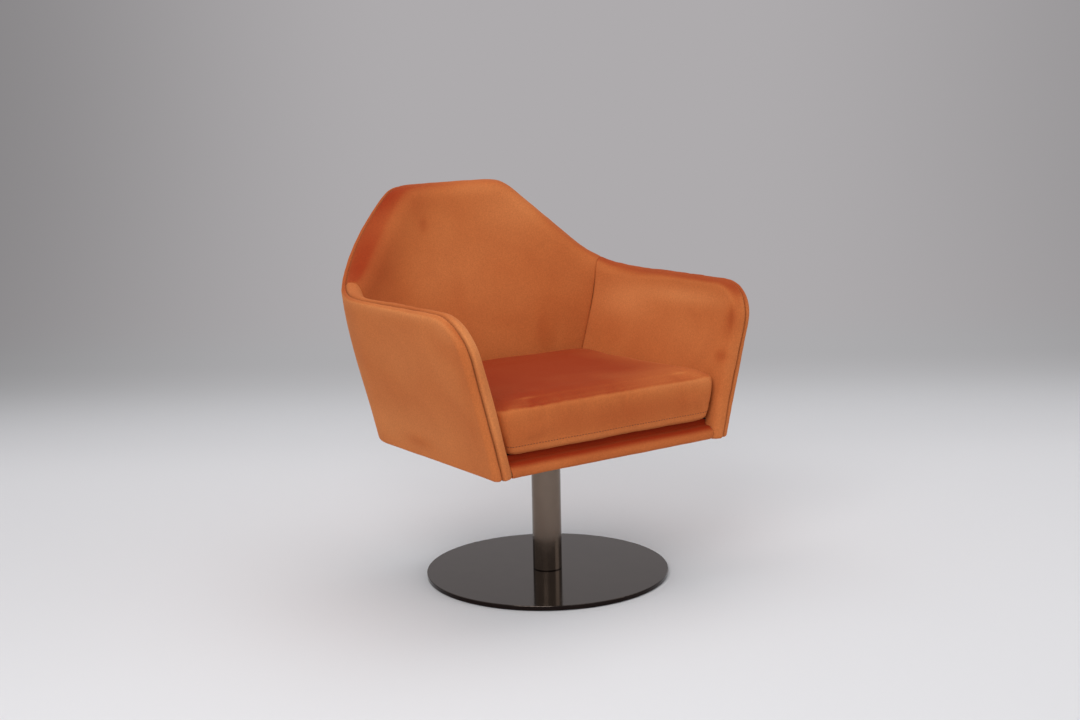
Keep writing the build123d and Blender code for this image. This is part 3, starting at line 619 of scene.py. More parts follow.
def upholstery_velvet(colours):
    """Cut-pile polyester velvet: soft sheen at the edges, and brushed patches where the pile
    lies another way and looks darker or lighter."""
    made, shader, place = new_material("upholstery_velvet")
    patches = add_node(made, "TexNoise", inputs={
        "Vector": place, "Scale": scale_of(120), "Detail": 3.0, "Roughness": 0.55,
        "Distortion": 0.7}).outputs["Fac"]
    # Pile is about 0.3 mm thick; the tufts are drawn at 3 mm so that they show at all.
    pile = add_node(made, "TexNoise", inputs={
        "Vector": place, "Scale": scale_of(3), "Detail": 3.0, "Roughness": 0.7}).outputs["Fac"]
    lie = add_node(made, "MapRange", inputs={
        "Value": patches, "From Min": 0.30, "From Max": 0.72}).outputs["Result"]
    # The pieces' attribute paints light and shade into the colour: towards the painted highlight
    # colour above zero and the painted shade colour below, with the pile's slight random unevenness.
    pile_tone_and_painted_light = add_node(made, "Attribute", {"attribute_name": "pile_tone_and_painted_light"}).outputs["Fac"]
    seam = add_node(made, "Attribute", {"attribute_name": "seam"}).outputs["Fac"]
    brushed = add_node(made, "MixRGB", inputs={
        "Fac": lie, "Color1": colours.velvet_deep, "Color2": colours.velvet_mid}).outputs["Color"]
    lighter = add_node(made, "MapRange", inputs={"Value": pile_tone_and_painted_light, "From Min": 0.0, "From Max": 1.0})
    lit = add_node(made, "MixRGB", inputs={
        "Fac": lighter.outputs["Result"], "Color1": brushed, "Color2": colours.velvet_painted_highlight})
    darker = add_node(made, "MapRange", inputs={"Value": pile_tone_and_painted_light, "From Min": 0.0, "From Max": -1.0})
    lit_and_shaded = add_node(made, "MixRGB", inputs={
        "Fac": darker.outputs["Result"], "Color1": lit.outputs["Color"],
        "Color2": colours.velvet_painted_shade}).outputs["Color"]
    tufts = add_node(made, "MapRange", inputs={
        "Value": pile, "From Min": 0.3, "From Max": 0.7, "To Min": 0.86, "To Max": 1.1})
    speckled = add_node(made, "MixRGB", {"blend_type": "MULTIPLY"}, {
        "Fac": 1.0, "Color1": lit_and_shaded, "Color2": tufts.outputs["Result"]}).outputs["Color"]
    # The seam attribute mixes in the seam colour: painted shadow in the seams' grooves, with the
    # thread's own colour.
    thread = add_node(made, "MixRGB", inputs={
        "Fac": seam, "Color1": speckled, "Color2": colours.seam_shadow}).outputs["Color"]
    bump = add_node(made, "Bump", inputs={"Height": pile, "Strength": 0.35, "Distance": 0.6 * MM})
    link(made, thread, shader.inputs["Base Color"])
    link(made, bump.outputs["Normal"], shader.inputs["Normal"])
    shader.inputs["Roughness"].default_value = 0.82
    shader.inputs["Specular IOR Level"].default_value = 0.12
    shader.inputs["Sheen Weight"].default_value = 0.2
    shader.inputs["Sheen Roughness"].default_value = 0.38
    shader.inputs["Sheen Tint"].default_value = colours.velvet_sheen
    return made


def metal(name, colour, roughness, grain, spread, dark_band=None):
    """A metal with fine uneven polish: the grain's size in millimetres sets its texture.

    A dark band lies between two heights, given in metres with its tone."""
    made, shader, place = new_material(name)
    polish = add_node(made, "TexNoise", inputs={
        "Vector": place, "Scale": scale_of(grain), "Detail": 4.0}).outputs["Fac"]
    cloudy = add_node(made, "MapRange", inputs={
        "Value": polish, "From Min": 0.3, "From Max": 0.7,
        "To Min": roughness - spread, "To Max": roughness + spread}).outputs["Result"]
    tone = add_node(made, "MapRange", inputs={
        "Value": polish, "From Min": 0.3, "From Max": 0.7, "To Min": 0.92, "To Max": 1.05})
    tinted = add_node(made, "MixRGB", {"blend_type": "MULTIPLY"}, {
        "Fac": 1.0, "Color1": colour, "Color2": tone.outputs["Result"]}).outputs["Color"]
    if dark_band:
        low, high, shade = dark_band
        height = add_node(made, "SeparateXYZ", inputs={"Vector": place}).outputs["Z"]
        inside = add_node(made, "Math", {"operation": "COMPARE"}, {
            0: height, 1: (low + high) / 2, 2: (high - low) / 2}).outputs[0]
        tinted = add_node(made, "MixRGB", inputs={
            "Fac": inside, "Color1": tinted, "Color2": shade}).outputs["Color"]
    link(made, tinted, shader.inputs["Base Color"])
    link(made, cloudy, shader.inputs["Roughness"])
    shader.inputs["Metallic"].default_value = 1.0
    return made


def two_toned(name, dark, light, size, roughness, grain=(6.0, 0.75), bump=(0.5, 0.4), stretch=None):
    """A material of two tones, mixed by a noise of the given size in millimetres.

    The grain is the noise's detail and roughness. The bump is the strength and the depth in
    millimetres of its relief, and None leaves it smooth."""
    made, shader, place = new_material(name)
    if stretch:
        place = add_node(made, "Mapping", inputs={
            "Vector": place, "Scale": stretch}).outputs["Vector"]
    pattern = add_node(made, "TexNoise", inputs={
        "Vector": place, "Scale": scale_of(size), "Detail": grain[0],
        "Roughness": grain[1]}).outputs["Fac"]
    tone = add_node(made, "MixRGB", inputs={"Fac": pattern, "Color1": dark, "Color2": light})
    link(made, tone.outputs["Color"], shader.inputs["Base Color"])
    if bump:
        relief = add_node(made, "Bump", inputs={
            "Height": pattern, "Strength": bump[0], "Distance": bump[1] * MM})
        link(made, relief.outputs["Normal"], shader.inputs["Normal"])
    shader.inputs["Roughness"].default_value = roughness
    return made


MATERIALS = {}


def finish(name):
    """A named material of this chair, made once."""
    colours = bpy.context.scene.tub_colours
    makers = {
        "velvet": lambda: upholstery_velvet(colours),
        # Bronze-toned plating, polished: dark, with clear reflections. Its turned edge is darker.
        "disc": lambda: metal("polished_bronze_plating", colours.bronze_disc, 0.10, 30, 0.02,
                              (0.0, DISC_TOP - 0.8 * MM, colours.bronze_edge_and_foot_shadow)),
        # The same plating on the brushed column: satin. A painted shadow line darkens its foot, where
        # it stands on the disc.
        "bronze": lambda: metal("satin_bronze_plating", colours.bronze, 0.17, 30, 0.02,
                                (DISC_TOP + 0.1 * MM, DISC_TOP + 1.8 * MM, colours.bronze_edge_and_foot_shadow)),
        # Bright zinc plating on small steel parts: pale and slightly cloudy.
        "steel": lambda: metal("zinc_plated_steel", colours.steel, 0.34, 6, 0.06),
        # Black oxide on the swivel plate: nearly black, satin.
        "black_steel": lambda: metal("black_oxide_steel", colours.black_steel, 0.45, 10, 0.05),
        # Birch plywood, sanded and unfinished: pale face with soft straight grain.
        "birch": lambda: two_toned("birch_plywood", colours.birch_dark, colours.birch_light, 60,
                                   0.6, (5.0, 0.5), (0.1, 0.3), (1.0, 12.0, 12.0)),
        # Natural acetal, moulded: milky, smooth and slightly waxy.
        "acetal": lambda: two_toned("moulded_acetal", linear("#D6D2C6"), colours.acetal, 8, 0.42,
                                    (2.0, 0.5), None),
        # Felt and non-woven cloth: matt, with short crossed fibres.
        "felt": lambda: two_toned("pressed_wool_felt", linear("#151515"), linear("#2C2B2A"), 2, 0.95),
        "dust_cloth": lambda: two_toned("spunbond_dust_cloth", linear("#101011"),
                                        linear("#242425"), 3, 0.85),
        # Polyurethane foam shows only as fine open cells.
        "foam": lambda: two_toned("polyurethane_foam", linear("#C9BE9C"), linear("#DDD3B4"), 2, 0.9),
        # Polyester thread: matt, and darker than the velvet round its stitches.
        "thread": lambda: two_toned("polyester_thread", linear("#431A0A"), linear("#65290F"), 1, 0.6),
    }
    if name not in MATERIALS:
        MATERIALS[name] = makers[name]()
    return MATERIALS[name]


# ---------------------------------------------------------------- the tub's pieces


def rim():
    return Rim(bpy.context.scene.tub_sizes)


OUTER_CLOTH, INNER_CLOTH = 0.0025, 0.0045
LINING_FOOT = BOARD_TOP + 0.0005       # the linings end just over the seat's board
FOOT_LEVEL, FOOT_CLIMB = 0.004, 0.022  # an arm's lining: its foot's level run, then its climb
SIDE_ROWS = 26                         # rows up the inner back, beside the corner's seam
# The seam's rows carry painted shadow: 1 in the groove, 0.35 on the row beside it.
SEAM_ROWS = {0: 1.0, 1: 0.35}          # the rows of a lining's edge that lie in the rim's seam


def split_edge(edge):
    """An edge of the wall split at the nose, with the shares along its top and up its front."""
    top, front = edge[NOSE_MIDDLE:], edge[:NOSE_MIDDLE + 1]
    rise = np.array([f[1] for f in front])
    return top, front, shares(top), (rise - rise[0]) / (rise[-1] - rise[0])


def outer_cover():
    """The velvet outside: sides, corners and back in one, wrapped over the rim."""
    shape = rim()
    top, front, spread, rise = split_edge(shape.inset(0, shape.sizes.field))
    start, end = front[0], top[-1]
    bottom = [(start[0] + (end[0] - start[0]) * s, WALL_FOOT) for s in spread]
    middle = [(end[0], WALL_FOOT + (end[1] - WALL_FOOT) * s) for s in rise]
    mesh = bmesh.new()
    rows = shape.cover_rows()
    add_grid(mesh, rows, shadows={len(rows) - 1: 1.0, len(rows) - 2: 0.3})
    add_grid(mesh, field(bottom, top, front, middle, False))
    bmesh.ops.remove_doubles(mesh, verts=mesh.verts, dist=1e-5)
    mirror_half(mesh)
    face_from(mesh, True)
    turn_under(mesh, TUB_BOTTOM, FOOT_ROUND, HEM)
    made = add_object("outer_cover_velvet", mesh)
    thicken(made, OUTER_CLOTH)
    line = [shape.seam(i, 0, 0) for i in range(len(shape.outer))]
    pucker(made, [line + mirrored(line[::-1])], 1.0 * MM, 0.016, 3)
    soften(made, 1.2 * MM, 0.11, 2)
    return made


def arm_lining(side):
    """An arm's velvet lining, from the rim's seam down to the seat, up to the corner's seam."""
    shape = rim()
    top, front, spread, rise = split_edge(shape.inner_edge()[:SEAM_STATION + 1])
    start, end = front[0], top[-1]
    runs = start[0] + (end[0] - start[0]) * spread
    climb = np.clip((runs - start[0] - FOOT_LEVEL) / FOOT_CLIMB, 0, 1)
    bottom = [(r, WALL_FOOT + (LINING_FOOT - WALL_FOOT) * s) for r, s in zip(runs, climb)]
    low = bottom[-1][1]
    seam = [(SEAM_RUN, low + (end[1] - low) * s) for s in rise]
    top = [*top[:-1], (SEAM_RUN, end[1])]
    mesh = bmesh.new()
    rows = [row[:SEAM_STATION + 1] for row in shape.lining_rows()]
    rows[-1][-1] = wall_point(SEAM_RUN, end[1], True)
    add_grid(mesh, rows, lambda row, column: SEAM_ON_RIM * (column == SEAM_STATION and row > 0),
             SEAM_ROWS)
    columns = len(top) - 1
    add_grid(mesh, field(bottom, top, front, seam, True),
             lambda row, column: float(column == columns))
    bmesh.ops.remove_doubles(mesh, verts=mesh.verts, dist=1e-5)
    face_from(mesh, False)
    close_seam(mesh, shape.sizes)
    turn_under(mesh, TUB_BOTTOM, FOOT_ROUND, HEM)
    if side == "left":
        bmesh.ops.scale(mesh, vec=(-1, 1, 1), verts=mesh.verts)
        bmesh.ops.reverse_faces(mesh, faces=mesh.faces)
    made = add_object(side + "_arm_velvet", mesh)
    thicken(made, INNER_CLOTH)
    line = [shape.seam(i, 0, 0) for i in range(SEAM_STATION + 1)]
    corner = [wall_point(*place, True) for place in seam]
    corner += [row[SEAM_STATION] for row in reversed(shape.lining_rows()[1:-1])]
    lines = [mirrored(part) if side == "left" else part for part in (line, corner)]
    pucker(made, lines, 1.2 * MM, 0.014, 11 if side == "left" else 23)
    soften(made, 1.6 * MM, 0.09, 5 if side == "left" else 8)
    return made


def back_lining():
    """The back's velvet lining between the two corner seams."""
    shape = rim()
    edge = shape.inner_edge()[SEAM_STATION:]
    top = [(SEAM_RUN, edge[0][1]), *edge[1:]]
    low = LINING_FOOT
    steps = [i / SIDE_ROWS for i in range(SIDE_ROWS + 1)]
    seam = [(SEAM_RUN, low + (top[0][1] - low) * s) for s in steps]
    middle = [(WALL_RUN, low + (top[-1][1] - low) * s) for s in steps]
    bottom = [(SEAM_RUN + BACK_RUN * i / (len(top) - 1), low) for i in range(len(top))]
    mesh = bmesh.new()
    rows = [row[SEAM_STATION:] for row in shape.lining_rows()]
    rows[-1][0] = wall_point(*top[0], True)
    add_grid(mesh, rows, lambda row, column: SEAM_ON_RIM * (column == 0 and row > 0), SEAM_ROWS)
    add_grid(mesh, field(bottom, top, seam, middle, True), lambda row, column: float(column == 0))
    bmesh.ops.remove_doubles(mesh, verts=mesh.verts, dist=1e-5)
    mirror_half(mesh)
    face_from(mesh, False)
    close_seam(mesh, shape.sizes)
    made = add_object("back_velvet", mesh)
    thicken(made, INNER_CLOTH)
    line = [shape.seam(i, 0, 0) for i in range(SEAM_STATION, len(shape.outer))]
    corner = [wall_point(*place, True) for place in seam]
    corner += [row[SEAM_STATION] for row in reversed(shape.lining_rows()[1:-1])]
    lines = [line + mirrored(line[::-1]), corner, mirrored(corner)]
    pucker(made, lines, 1.2 * MM, 0.014, 31)
    soften(made, 1.6 * MM, 0.10, 12)
    return made


# ---------------------------------------------------------------- apron, deck and underside


def inner_half_width(y, height):
    """Half the width between the inner walls, on the straight sides."""
    start, centre, radius, angle = side_and_corner(height, SHELL)
    meet = polar(centre, radius, angle)
    return start[0] + (meet[0] - start[0]) * (y - start[1]) / (meet[1] - start[1])


END_REACH, END_GAP, END_STRETCH = 0.012, 0.0001, 0.0008
END_SQUARE = 1.07             # sets the end's edge square again, which subdivision rounds off


def butt(made, wall, sign):
    """Draws one end of the apron up to the arm's lining beside it, a hair away from it."""
    points = coordinates(made)
    for point in points:
        half = inner_half_width(point[1], point[2])
        start = half - END_REACH
        share = (sign * point[0] - start) / END_REACH
        if share > 0:
            origin = Vector((sign * start, point[1], point[2]))
            found, place, _, _ = wall.ray_cast(origin, Vector((sign, 0, 0)))
            end = min(sign * place.x - END_GAP, half + END_STRETCH) if found else half
            point[0] = sign * (start + min(share * END_SQUARE, 1.0) * (end - start))
    set_coordinates(made, points)


APRON_STEPS = 48              # columns of the apron's grid, from end to end


def apron():
    """The padded velvet lip under the cushion, wrapped over the front rail."""
    low, high = TUB_BOTTOM, LIP_TOP
    section = [(RAIL_BACK, low + 0.3 * MM), (-0.216, low + 0.3 * MM), (LIP_FRONT, low)]
    section += [(LIP_BULGE + 0.0035, low + 0.0008), (LIP_BULGE + 0.0008, low + 0.0034)]
    middle = (LIP_BULGE + LIP_DEPTH, low + LIP_FOOT)
    for share in (0, 0.18, 0.36, 0.54, 0.72, 0.87, 1.0):
        angle = math.pi / 2 * share
        section.append((middle[0] - LIP_DEPTH * math.cos(angle),
                        middle[1] + (high + 0.0006 - middle[1]) * math.sin(angle)))
    section += [(-0.2115, high + 0.0012), (-0.2088, high + 0.0040)]
    section += [(-0.2080, high + 0.0080), (-0.2078, high + 0.0125)]
    rows = []
    for y, z in section:
        half = inner_half_width(y, z) - 0.4 * MM
        rows.append([Vector((half * (2 * i / APRON_STEPS - 1), y, z))
                     for i in range(APRON_STEPS + 1)])
    mesh = bmesh.new()
    add_grid(mesh, rows)
    face_from(mesh, True)
    made = add_object("front_apron_velvet", mesh)
    thicken(made, OUTER_CLOTH)
    soften(made, 0.7 * MM, 0.05, 17)
    half = inner_half_width(LIP_FRONT, 0.3)
    ends = [[Vector((s * half, LIP_FRONT, z)) for z in (low, high)] for s in (-1, 1)]
    pucker(made, ends, 1.0 * MM, 0.012, 41)
    for sign, side in ((-1, "left"), (1, "right")):
        butt(made, bpy.data.objects[side + "_arm_velvet"], sign)
    return made


def arc(centre, radius, start, end, steps, first=1):
    """Points of an arc in plan, from its start or from the next point on."""
    return [polar(centre, radius, start + (end - start) * i / steps)
            for i in range(first, steps + 1)]


def both_sides(half):
    """A closed outline in plan, from the points of its right half."""
    return half + [(-x, y) for x, y in reversed(half) if x > 0]


def cushion_outline(height, inset, front_corner):
    """Points round the cushion at a height, from the middle of its front, anticlockwise."""
    gap = SHELL + CUSHION_GAP + inset
    start, centre, radius, angle = side_and_corner(height, gap)
    plan = plan_at(height)
    meet = polar(centre, radius, angle)
    seam_angle = math.radians(plan[6]) - CUSHION_CORNER_GAP / radius
    inner_back = plan[5] - CUSHION_BACK_GAP - inset
    front = FRONT + CUSHION_SETBACK + inset
    lean = (meet[0] - start[0]) / (meet[1] - start[1])
    turn = math.pi / 2 - math.atan(lean)
    reach = front_corner * math.tan(turn / 2)
    corner_x = start[0] + lean * (front - start[1])
    half = [(0.0, front)]
    low, rise = corner_x - reach, front + front_corner
    half += [(low * i / 8, front) for i in range(1, 8)]
    half += arc((low, rise), front_corner, -math.pi / 2, turn - math.pi / 2, 10, 0)
    high = half[-1]
    half += [(high[0] + (meet[0] - high[0]) * i / 14, high[1] + (meet[1] - high[1]) * i / 14)
             for i in range(1, 15)]
    half += arc(centre, radius, angle, seam_angle, 10)
    half += [back_arc(centre, radius, seam_angle, inner_back, i / 16) for i in range(1, 17)]
    return [Vector((x, y, height)) for x, y in both_sides(half)]


def resample(points, count):
    """A closed outline with evenly spaced points."""
    length = lengths(points + [points[0]])
    line = np.array([tuple(p) for p in points + [points[0]]])
    at = np.linspace(0, length[-1], count, endpoint=False)
    return [Vector([np.interp(a, length, line[:, k]) for k in range(3)]) for a in at]


BORDER_STEPS = 260                     # points round the cushion
LOW_CORNER, TOP_CORNER = 0.009, 0.022  # radius of the cushion's front corners, low and high
TOP_TUCK = 0.0062                      # how far the border's upper edge draws in


def border_row(share, tuck):
    """The cushion's outline at a share of its border's height."""
    corner = LOW_CORNER + share * (TOP_CORNER - LOW_CORNER)
    height = CUSHION_BOTTOM + share * CUSHION_HEIGHT
    return resample(cushion_outline(height, tuck, corner), BORDER_STEPS)


def deck():
    """The black cloth over the seat's platform, with its thin foam, and its front edge."""
    height, gap = DECK_TOP, 0.6 * MM
    _, centre, radius, angle = side_and_corner(height, SHELL + gap)
    plan = plan_at(height)
    seam_angle = math.radians(plan[6])
    front = RAIL_BACK - 1.4 * MM
    half = [(0.0, front), (inner_half_width(front, height) - gap, front)]
    half += arc(centre, radius, angle, seam_angle, 8, 0)
    half += [back_arc(centre, radius, seam_angle, plan[5] - gap, i / 8) for i in range(1, 9)]
    mesh = bmesh.new()
    ring = [mesh.verts.new((x, y, BOARD_TOP + 0.2 * MM)) for x, y in both_sides(half)]
    floor = mesh.faces.new(ring)
    made = bmesh.ops.extrude_face_region(mesh, geom=[floor])["geom"]
    top = [g for g in made if isinstance(g, bmesh.types.BMVert)]
    bmesh.ops.translate(mesh, verts=top, vec=(0, 0, height - BOARD_TOP - 0.4 * MM))
    bmesh.ops.recalc_face_normals(mesh, faces=mesh.faces)
    mesh.faces.ensure_lookup_table()
    under = min(mesh.faces, key=lambda f: f.calc_center_median().z)
    bmesh.ops.inset_region(mesh, faces=[under], thickness=0.002)
    for vert in mesh.verts:
        if vert.co.z < BOARD_TOP + 0.001 and vert.co.y < front + 0.0005:
            vert.co.z = LIP_TOP - 1.4 * MM
    mesh.faces.ensure_lookup_table()
    edges = [e for e in mesh.edges if all(v.co.z > height - 0.001 for v in e.verts)]
    bmesh.ops.bevel(mesh, geom=edges, offset=1.5 * MM, segments=3, profile=0.5,
                    affect="EDGES", material=-1)
    return add_object("seat_deck", mesh)


DUST_HEIGHT, DUST_INSET, DUST_THICKNESS = TUB_BOTTOM + 0.0022, 0.0092, 0.0006
DUST_FRONT, DUST_RAIL, DUST_HOLE = -0.2282, -0.2065, 0.0328


def dust_cloth():
    """The black non-woven cloth under the chair, with a hole for the column."""
    height, front, rail = DUST_HEIGHT, DUST_FRONT, DUST_RAIL
    start, centre, radius, angle = side_and_corner(TUB_BOTTOM, DUST_INSET)
    meet = polar(centre, radius, angle)
    lean = (meet[0] - start[0]) / (meet[1] - start[1])
    inner = inner_half_width(rail, TUB_BOTTOM) + 0.6 * MM
    half = [(0.0, rail), (inner, rail), (inner, front), (start[0] + lean * (front - FRONT), front)]
    half += arc(centre, radius, angle, math.pi / 2, 18, 0)
    mesh = bmesh.new()
    loop = [mesh.verts.new((x, y, height)) for x, y in both_sides(half)]
    for a, b in zip(loop, loop[1:] + loop[:1]):
        mesh.edges.new((a, b))
    bmesh.ops.create_circle(mesh, segments=48, radius=DUST_HOLE,
                            matrix=Matrix.Translation((0, 0, height)))
    bmesh.ops.triangle_fill(mesh, edges=mesh.edges[:], use_beauty=True)
    bmesh.ops.recalc_face_normals(mesh, faces=mesh.faces)
    area = sum(f.calc_area() for f in mesh.faces)
    made = add_object("underside_dust_cloth", mesh)
    wall = made.modifiers.new("thickness", "SOLIDIFY")
    wall.thickness, wall.offset = DUST_THICKNESS, 0
    settle(made)
    made.data.shade_flat()
    return made, area


# ---------------------------------------------------------------- cushion


def crown_rows(inset):
    """The cushion's top: rows that shrink towards its middle and rise."""
    base = border_row(1.0, TOP_TUCK + inset)
    middle = Vector((0, (FRONT + PLANS[1][5]) / 2, 0))
    rows = []
    for scale, rise in ((0.975, 0.24), (0.93, 0.46), (0.78, 0.78), (0.5, 0.96), (0.2, 1.0)):
        height = base[0].z + (CUSHION_CROWN - inset) * rise
        rows.append([Vector((p.x * scale, middle.y + (p.y - middle.y) * scale, height))
                     for p in base])
    return rows


def blank_cushion(inset):
    """The cushion's shape before it is stuffed: slightly smaller all round."""
    steps = ((0.0, 0.0110), (0.018, 0.0068), (0.05, 0.0034), (0.10, 0.0014), (0.3, 0.0006),
             (0.5, 0.0003), (0.7, 0.0003), (0.85, 0.0010), (0.93, 0.0028), (1.0, TOP_TUCK))
    rows = [border_row(share, tuck + inset) for share, tuck in steps]
    rows += crown_rows(inset)
    rows = [row + [row[0]] for row in rows]
    mesh = bmesh.new()
    add_grid(mesh, rows)
    bmesh.ops.remove_doubles(mesh, verts=mesh.verts, dist=1e-6)
    bmesh.ops.holes_fill(mesh, edges=[e for e in mesh.edges if e.is_boundary], sides=0)
    bmesh.ops.recalc_face_normals(mesh, faces=mesh.faces)
    return add_object("seat_cushion_velvet", mesh)


def even_out(made, values, rounds):
    """Averages a value over neighbouring vertices, so that no sharp crumple stays."""
    ends = np.empty(len(made.data.edges) * 2, int)
    made.data.edges.foreach_get("vertices", ends)
    first, second = ends[::2], ends[1::2]
    count = np.bincount(ends, minlength=len(values))[:, None]
    for _ in range(rounds):
        total = np.stack([np.bincount(first, values[second, k], len(values))
                          + np.bincount(second, values[first, k], len(values))
                          for k in range(values.shape[1])], axis=1)
        values = 0.5 * values + 0.5 * total / count
    return values


SIM_FRAMES, SMOOTH_ROUNDS = 20, 12
HELD_FOOT = 0.004             # the cushion's lowest cloth stays where it is


def stuff(made, sizes):
    """Blows the cushion up a little with a cloth simulation, and keeps each move small."""
    before = coordinates(made)
    cloth = made.modifiers.new("cloth", "CLOTH")
    settings = cloth.settings
    settings.quality = 6
    settings.use_pressure = True
    settings.uniform_pressure_force = sizes.pressure
    settings.tension_stiffness = settings.compression_stiffness = 30
    settings.bending_stiffness = 1.0
    settings.effector_weights.gravity = 0
    scene = bpy.context.scene
    for step in range(1, SIM_FRAMES + 1):
        scene.frame_set(step)
    after = coordinates(made.evaluated_get(bpy.context.evaluated_depsgraph_get()))
    made.modifiers.clear()
    scene.frame_set(1)
    move = even_out(made, after - before, SMOOTH_ROUNDS)
    length = np.linalg.norm(move, axis=1)[:, None]
    height = before[:, 2:] - CUSHION_BOTTOM
    limit = np.where(height > CUSHION_HEIGHT, sizes.crown_cap, sizes.side_cap)
    limit = np.where(height < HELD_FOOT, 0.0, limit)
    move *= np.minimum(1, limit / np.maximum(length, 1e-9))
    set_coordinates(made, before + move)


def remesh(made, size):
    """An even mesh of small cells, which the simulation needs."""
    grid = made.modifiers.new("remesh", "REMESH")
    grid.mode, grid.voxel_size, grid.use_smooth_shade = "VOXEL", size, True
    settle(made)


def groove(made, line, depth, width, seed, gather):
    """Sinks a seam into the cushion, and gathers the cloth beside it."""
    points, normals = coordinates(made), vertex_normals(made)
    distance, along = line_distance(points, line)
    sink = np.exp(-(distance / width) ** 2)
    ripple = wave(along, 0.013, seed) + 0.7 * wave(along, 0.034, seed + 3)
    side = np.exp(-((distance - 0.011) / 0.012) ** 2) * (distance < 0.06)
    push = -depth * sink * (1 + 0.25 * wave(along, 0.02, seed + 6)) + gather * side * ripple
    set_coordinates(made, points + normals * push[:, None])
    return np.exp(-(distance / 0.0034) ** 2)


def round_foot(made):
    """Lifts the border's foot towards its front corners, where the foam is rounded off."""
    points = coordinates(made)
    start = inner_half_width(FRONT, CUSHION_BOTTOM) - CUSHION_GAP - FOOT_CORNER
    inward = np.clip(np.abs(points[:, 0]) - start, 0, FOOT_CORNER)
    lift = FOOT_CORNER - np.sqrt(FOOT_CORNER ** 2 - inward ** 2)
    ahead = np.clip((FRONT + 0.045 - points[:, 1]) / 0.03, 0, 1)
    low = np.clip(1 - (points[:, 2] - CUSHION_BOTTOM) / 0.040, 0, 1)
    points[:, 2] += FOOT_LIFT * lift * ahead * low
    set_coordinates(made, points)


# Where the border's seams and stitches run: a share of its height, and how far it is tucked.
UPPER_SEAM, LOWER_SEAM, STITCHES = (0.965, 0.0042), (0.03, 0.0055), (0.185, 0.0010)


def cushion():
    """The loose seat cushion: crowned, boxed, with a plain seam above and below."""
    sizes = bpy.context.scene.cushion_sizes
    made = blank_cushion(sizes.start_inset)
    remesh(made, sizes.voxel)
    stuff(made, sizes)
    smooth = made.modifiers.new("smooth", "SUBSURF")
    smooth.levels = smooth.render_levels = 1
    settle(made)
    round_foot(made)
    upper, lower, stitch = (border_row(*place) for place in (UPPER_SEAM, LOWER_SEAM, STITCHES))
    # The upper seam's mask returns as a line of painted highlight along the border's top; the lower
    # seam's mask is painted shadow in its groove.
    light = groove(made, upper + upper[:1], sizes.seam_depth, 0.0026, 61, 1.1 * MM)
    seam = 0.4 * groove(made, lower + lower[:1], 1.0 * MM, 0.003, 71, 0.5 * MM)
    groove(made, stitch + stitch[:1], 0.9 * MM, 0.0028, 81, 0.35 * MM)
    soften(made, 1.2 * MM, 0.08, 21)
    points = coordinates(made)
    points[:, 2] = np.maximum(points[:, 2], CUSHION_BOTTOM)
    set_coordinates(made, points)
    paint(made, "seam", seam)
    return made, 0.35 * light


def top_stitches(piece):
    """The row of thread stitches on the cushion's border, above its lower seam."""
    sizes = bpy.context.scene.cushion_sizes
    line = border_row(*STITCHES)
    count = round(lengths(line + line[:1])[-1] / sizes.stitch_pitch)
    places = resample(line, count)
    mesh = bmesh.new()
    for i, place in enumerate(places):
        along = places[(i + 1) % count] - places[i - 1]
        _, on_cloth, out, _ = piece.closest_point_on_mesh(place)
        along = (along - out * along.dot(out)).normalized()
        turn = Matrix((along, out.cross(along), out)).transposed().to_4x4()
        turn.translation = on_cloth + out * 0.1 * MM
        shape = Matrix.Diagonal((sizes.stitch_length / 2, 0.7 * MM, 0.55 * MM, 1))
        bmesh.ops.create_icosphere(mesh, subdivisions=1, radius=1.0, matrix=turn @ shape)
    return add_object("cushion_top_stitches", mesh)


# ---------------------------------------------------------------- folds, and painted light and shade


UNEVEN, UNEVEN_SIZE = 0.09, 0.07      # the pile's slight unevenness all over, and its size


def paint_light_and_shade(made, patches, base, lean, slope, lines=0.0):
    """Paints light and shade into the velvet: 1 is painted highlight and -1 painted shade.

    Patches of painted highlight and painted shade lie about points. Cloth that faces up gets painted
    shade, and the pile's slight random unevenness is added."""
    points = coordinates(made)
    up = np.clip((vertex_normals(made)[:, 2] - slope[0]) / (slope[1] - slope[0]), 0, 1)
    value = base - lean * up * up * (3 - 2 * up) + lines
    value += UNEVEN * np.array([noise.noise(Vector(p) / UNEVEN_SIZE) for p in points])
    for centre, reach, amount in patches:
        distance = np.linalg.norm((points - np.array(centre)) / np.array(reach), axis=1)
        value = value + amount * np.exp(-distance ** 2)
    paint(made, "pile_tone_and_painted_light", np.clip(value, -1, 1))


def clothe(made, body, folds, patches, brush, *nodes):
    """Lays a velvet piece's folds and its painted light and shade, and gives it its finish and body.

    The brush is the painted light's base, its lean (painted shade on cloth that faces up), the slopes
    where that starts and ends, and its lines of painted highlight."""
    crease(made, folds)
    paint_light_and_shade(made, patches, *brush)
    return dress(made, body, "velvet", finish("velvet"), *nodes)


# Each patch of painted light: its middle, its reach along the three axes, and how light or dark it
# is, above zero painted highlight and below zero painted shade.
CUSHION_PAINTED_LIGHT = [((-0.08, 0.04, 0.43), (0.22, 0.16, 0.03), -0.25),
               ((0.16, -0.19, 0.42), (0.13, 0.05, 0.03), 0.55),
               ((0.24, -0.06, 0.42), (0.06, 0.14, 0.03), 0.6),
               ((0.0, -0.23, 0.37), (0.35, 0.02, 0.035), -0.28),
               ((0.0, -0.23, 0.334), (0.35, 0.02, 0.008), 0.35)]
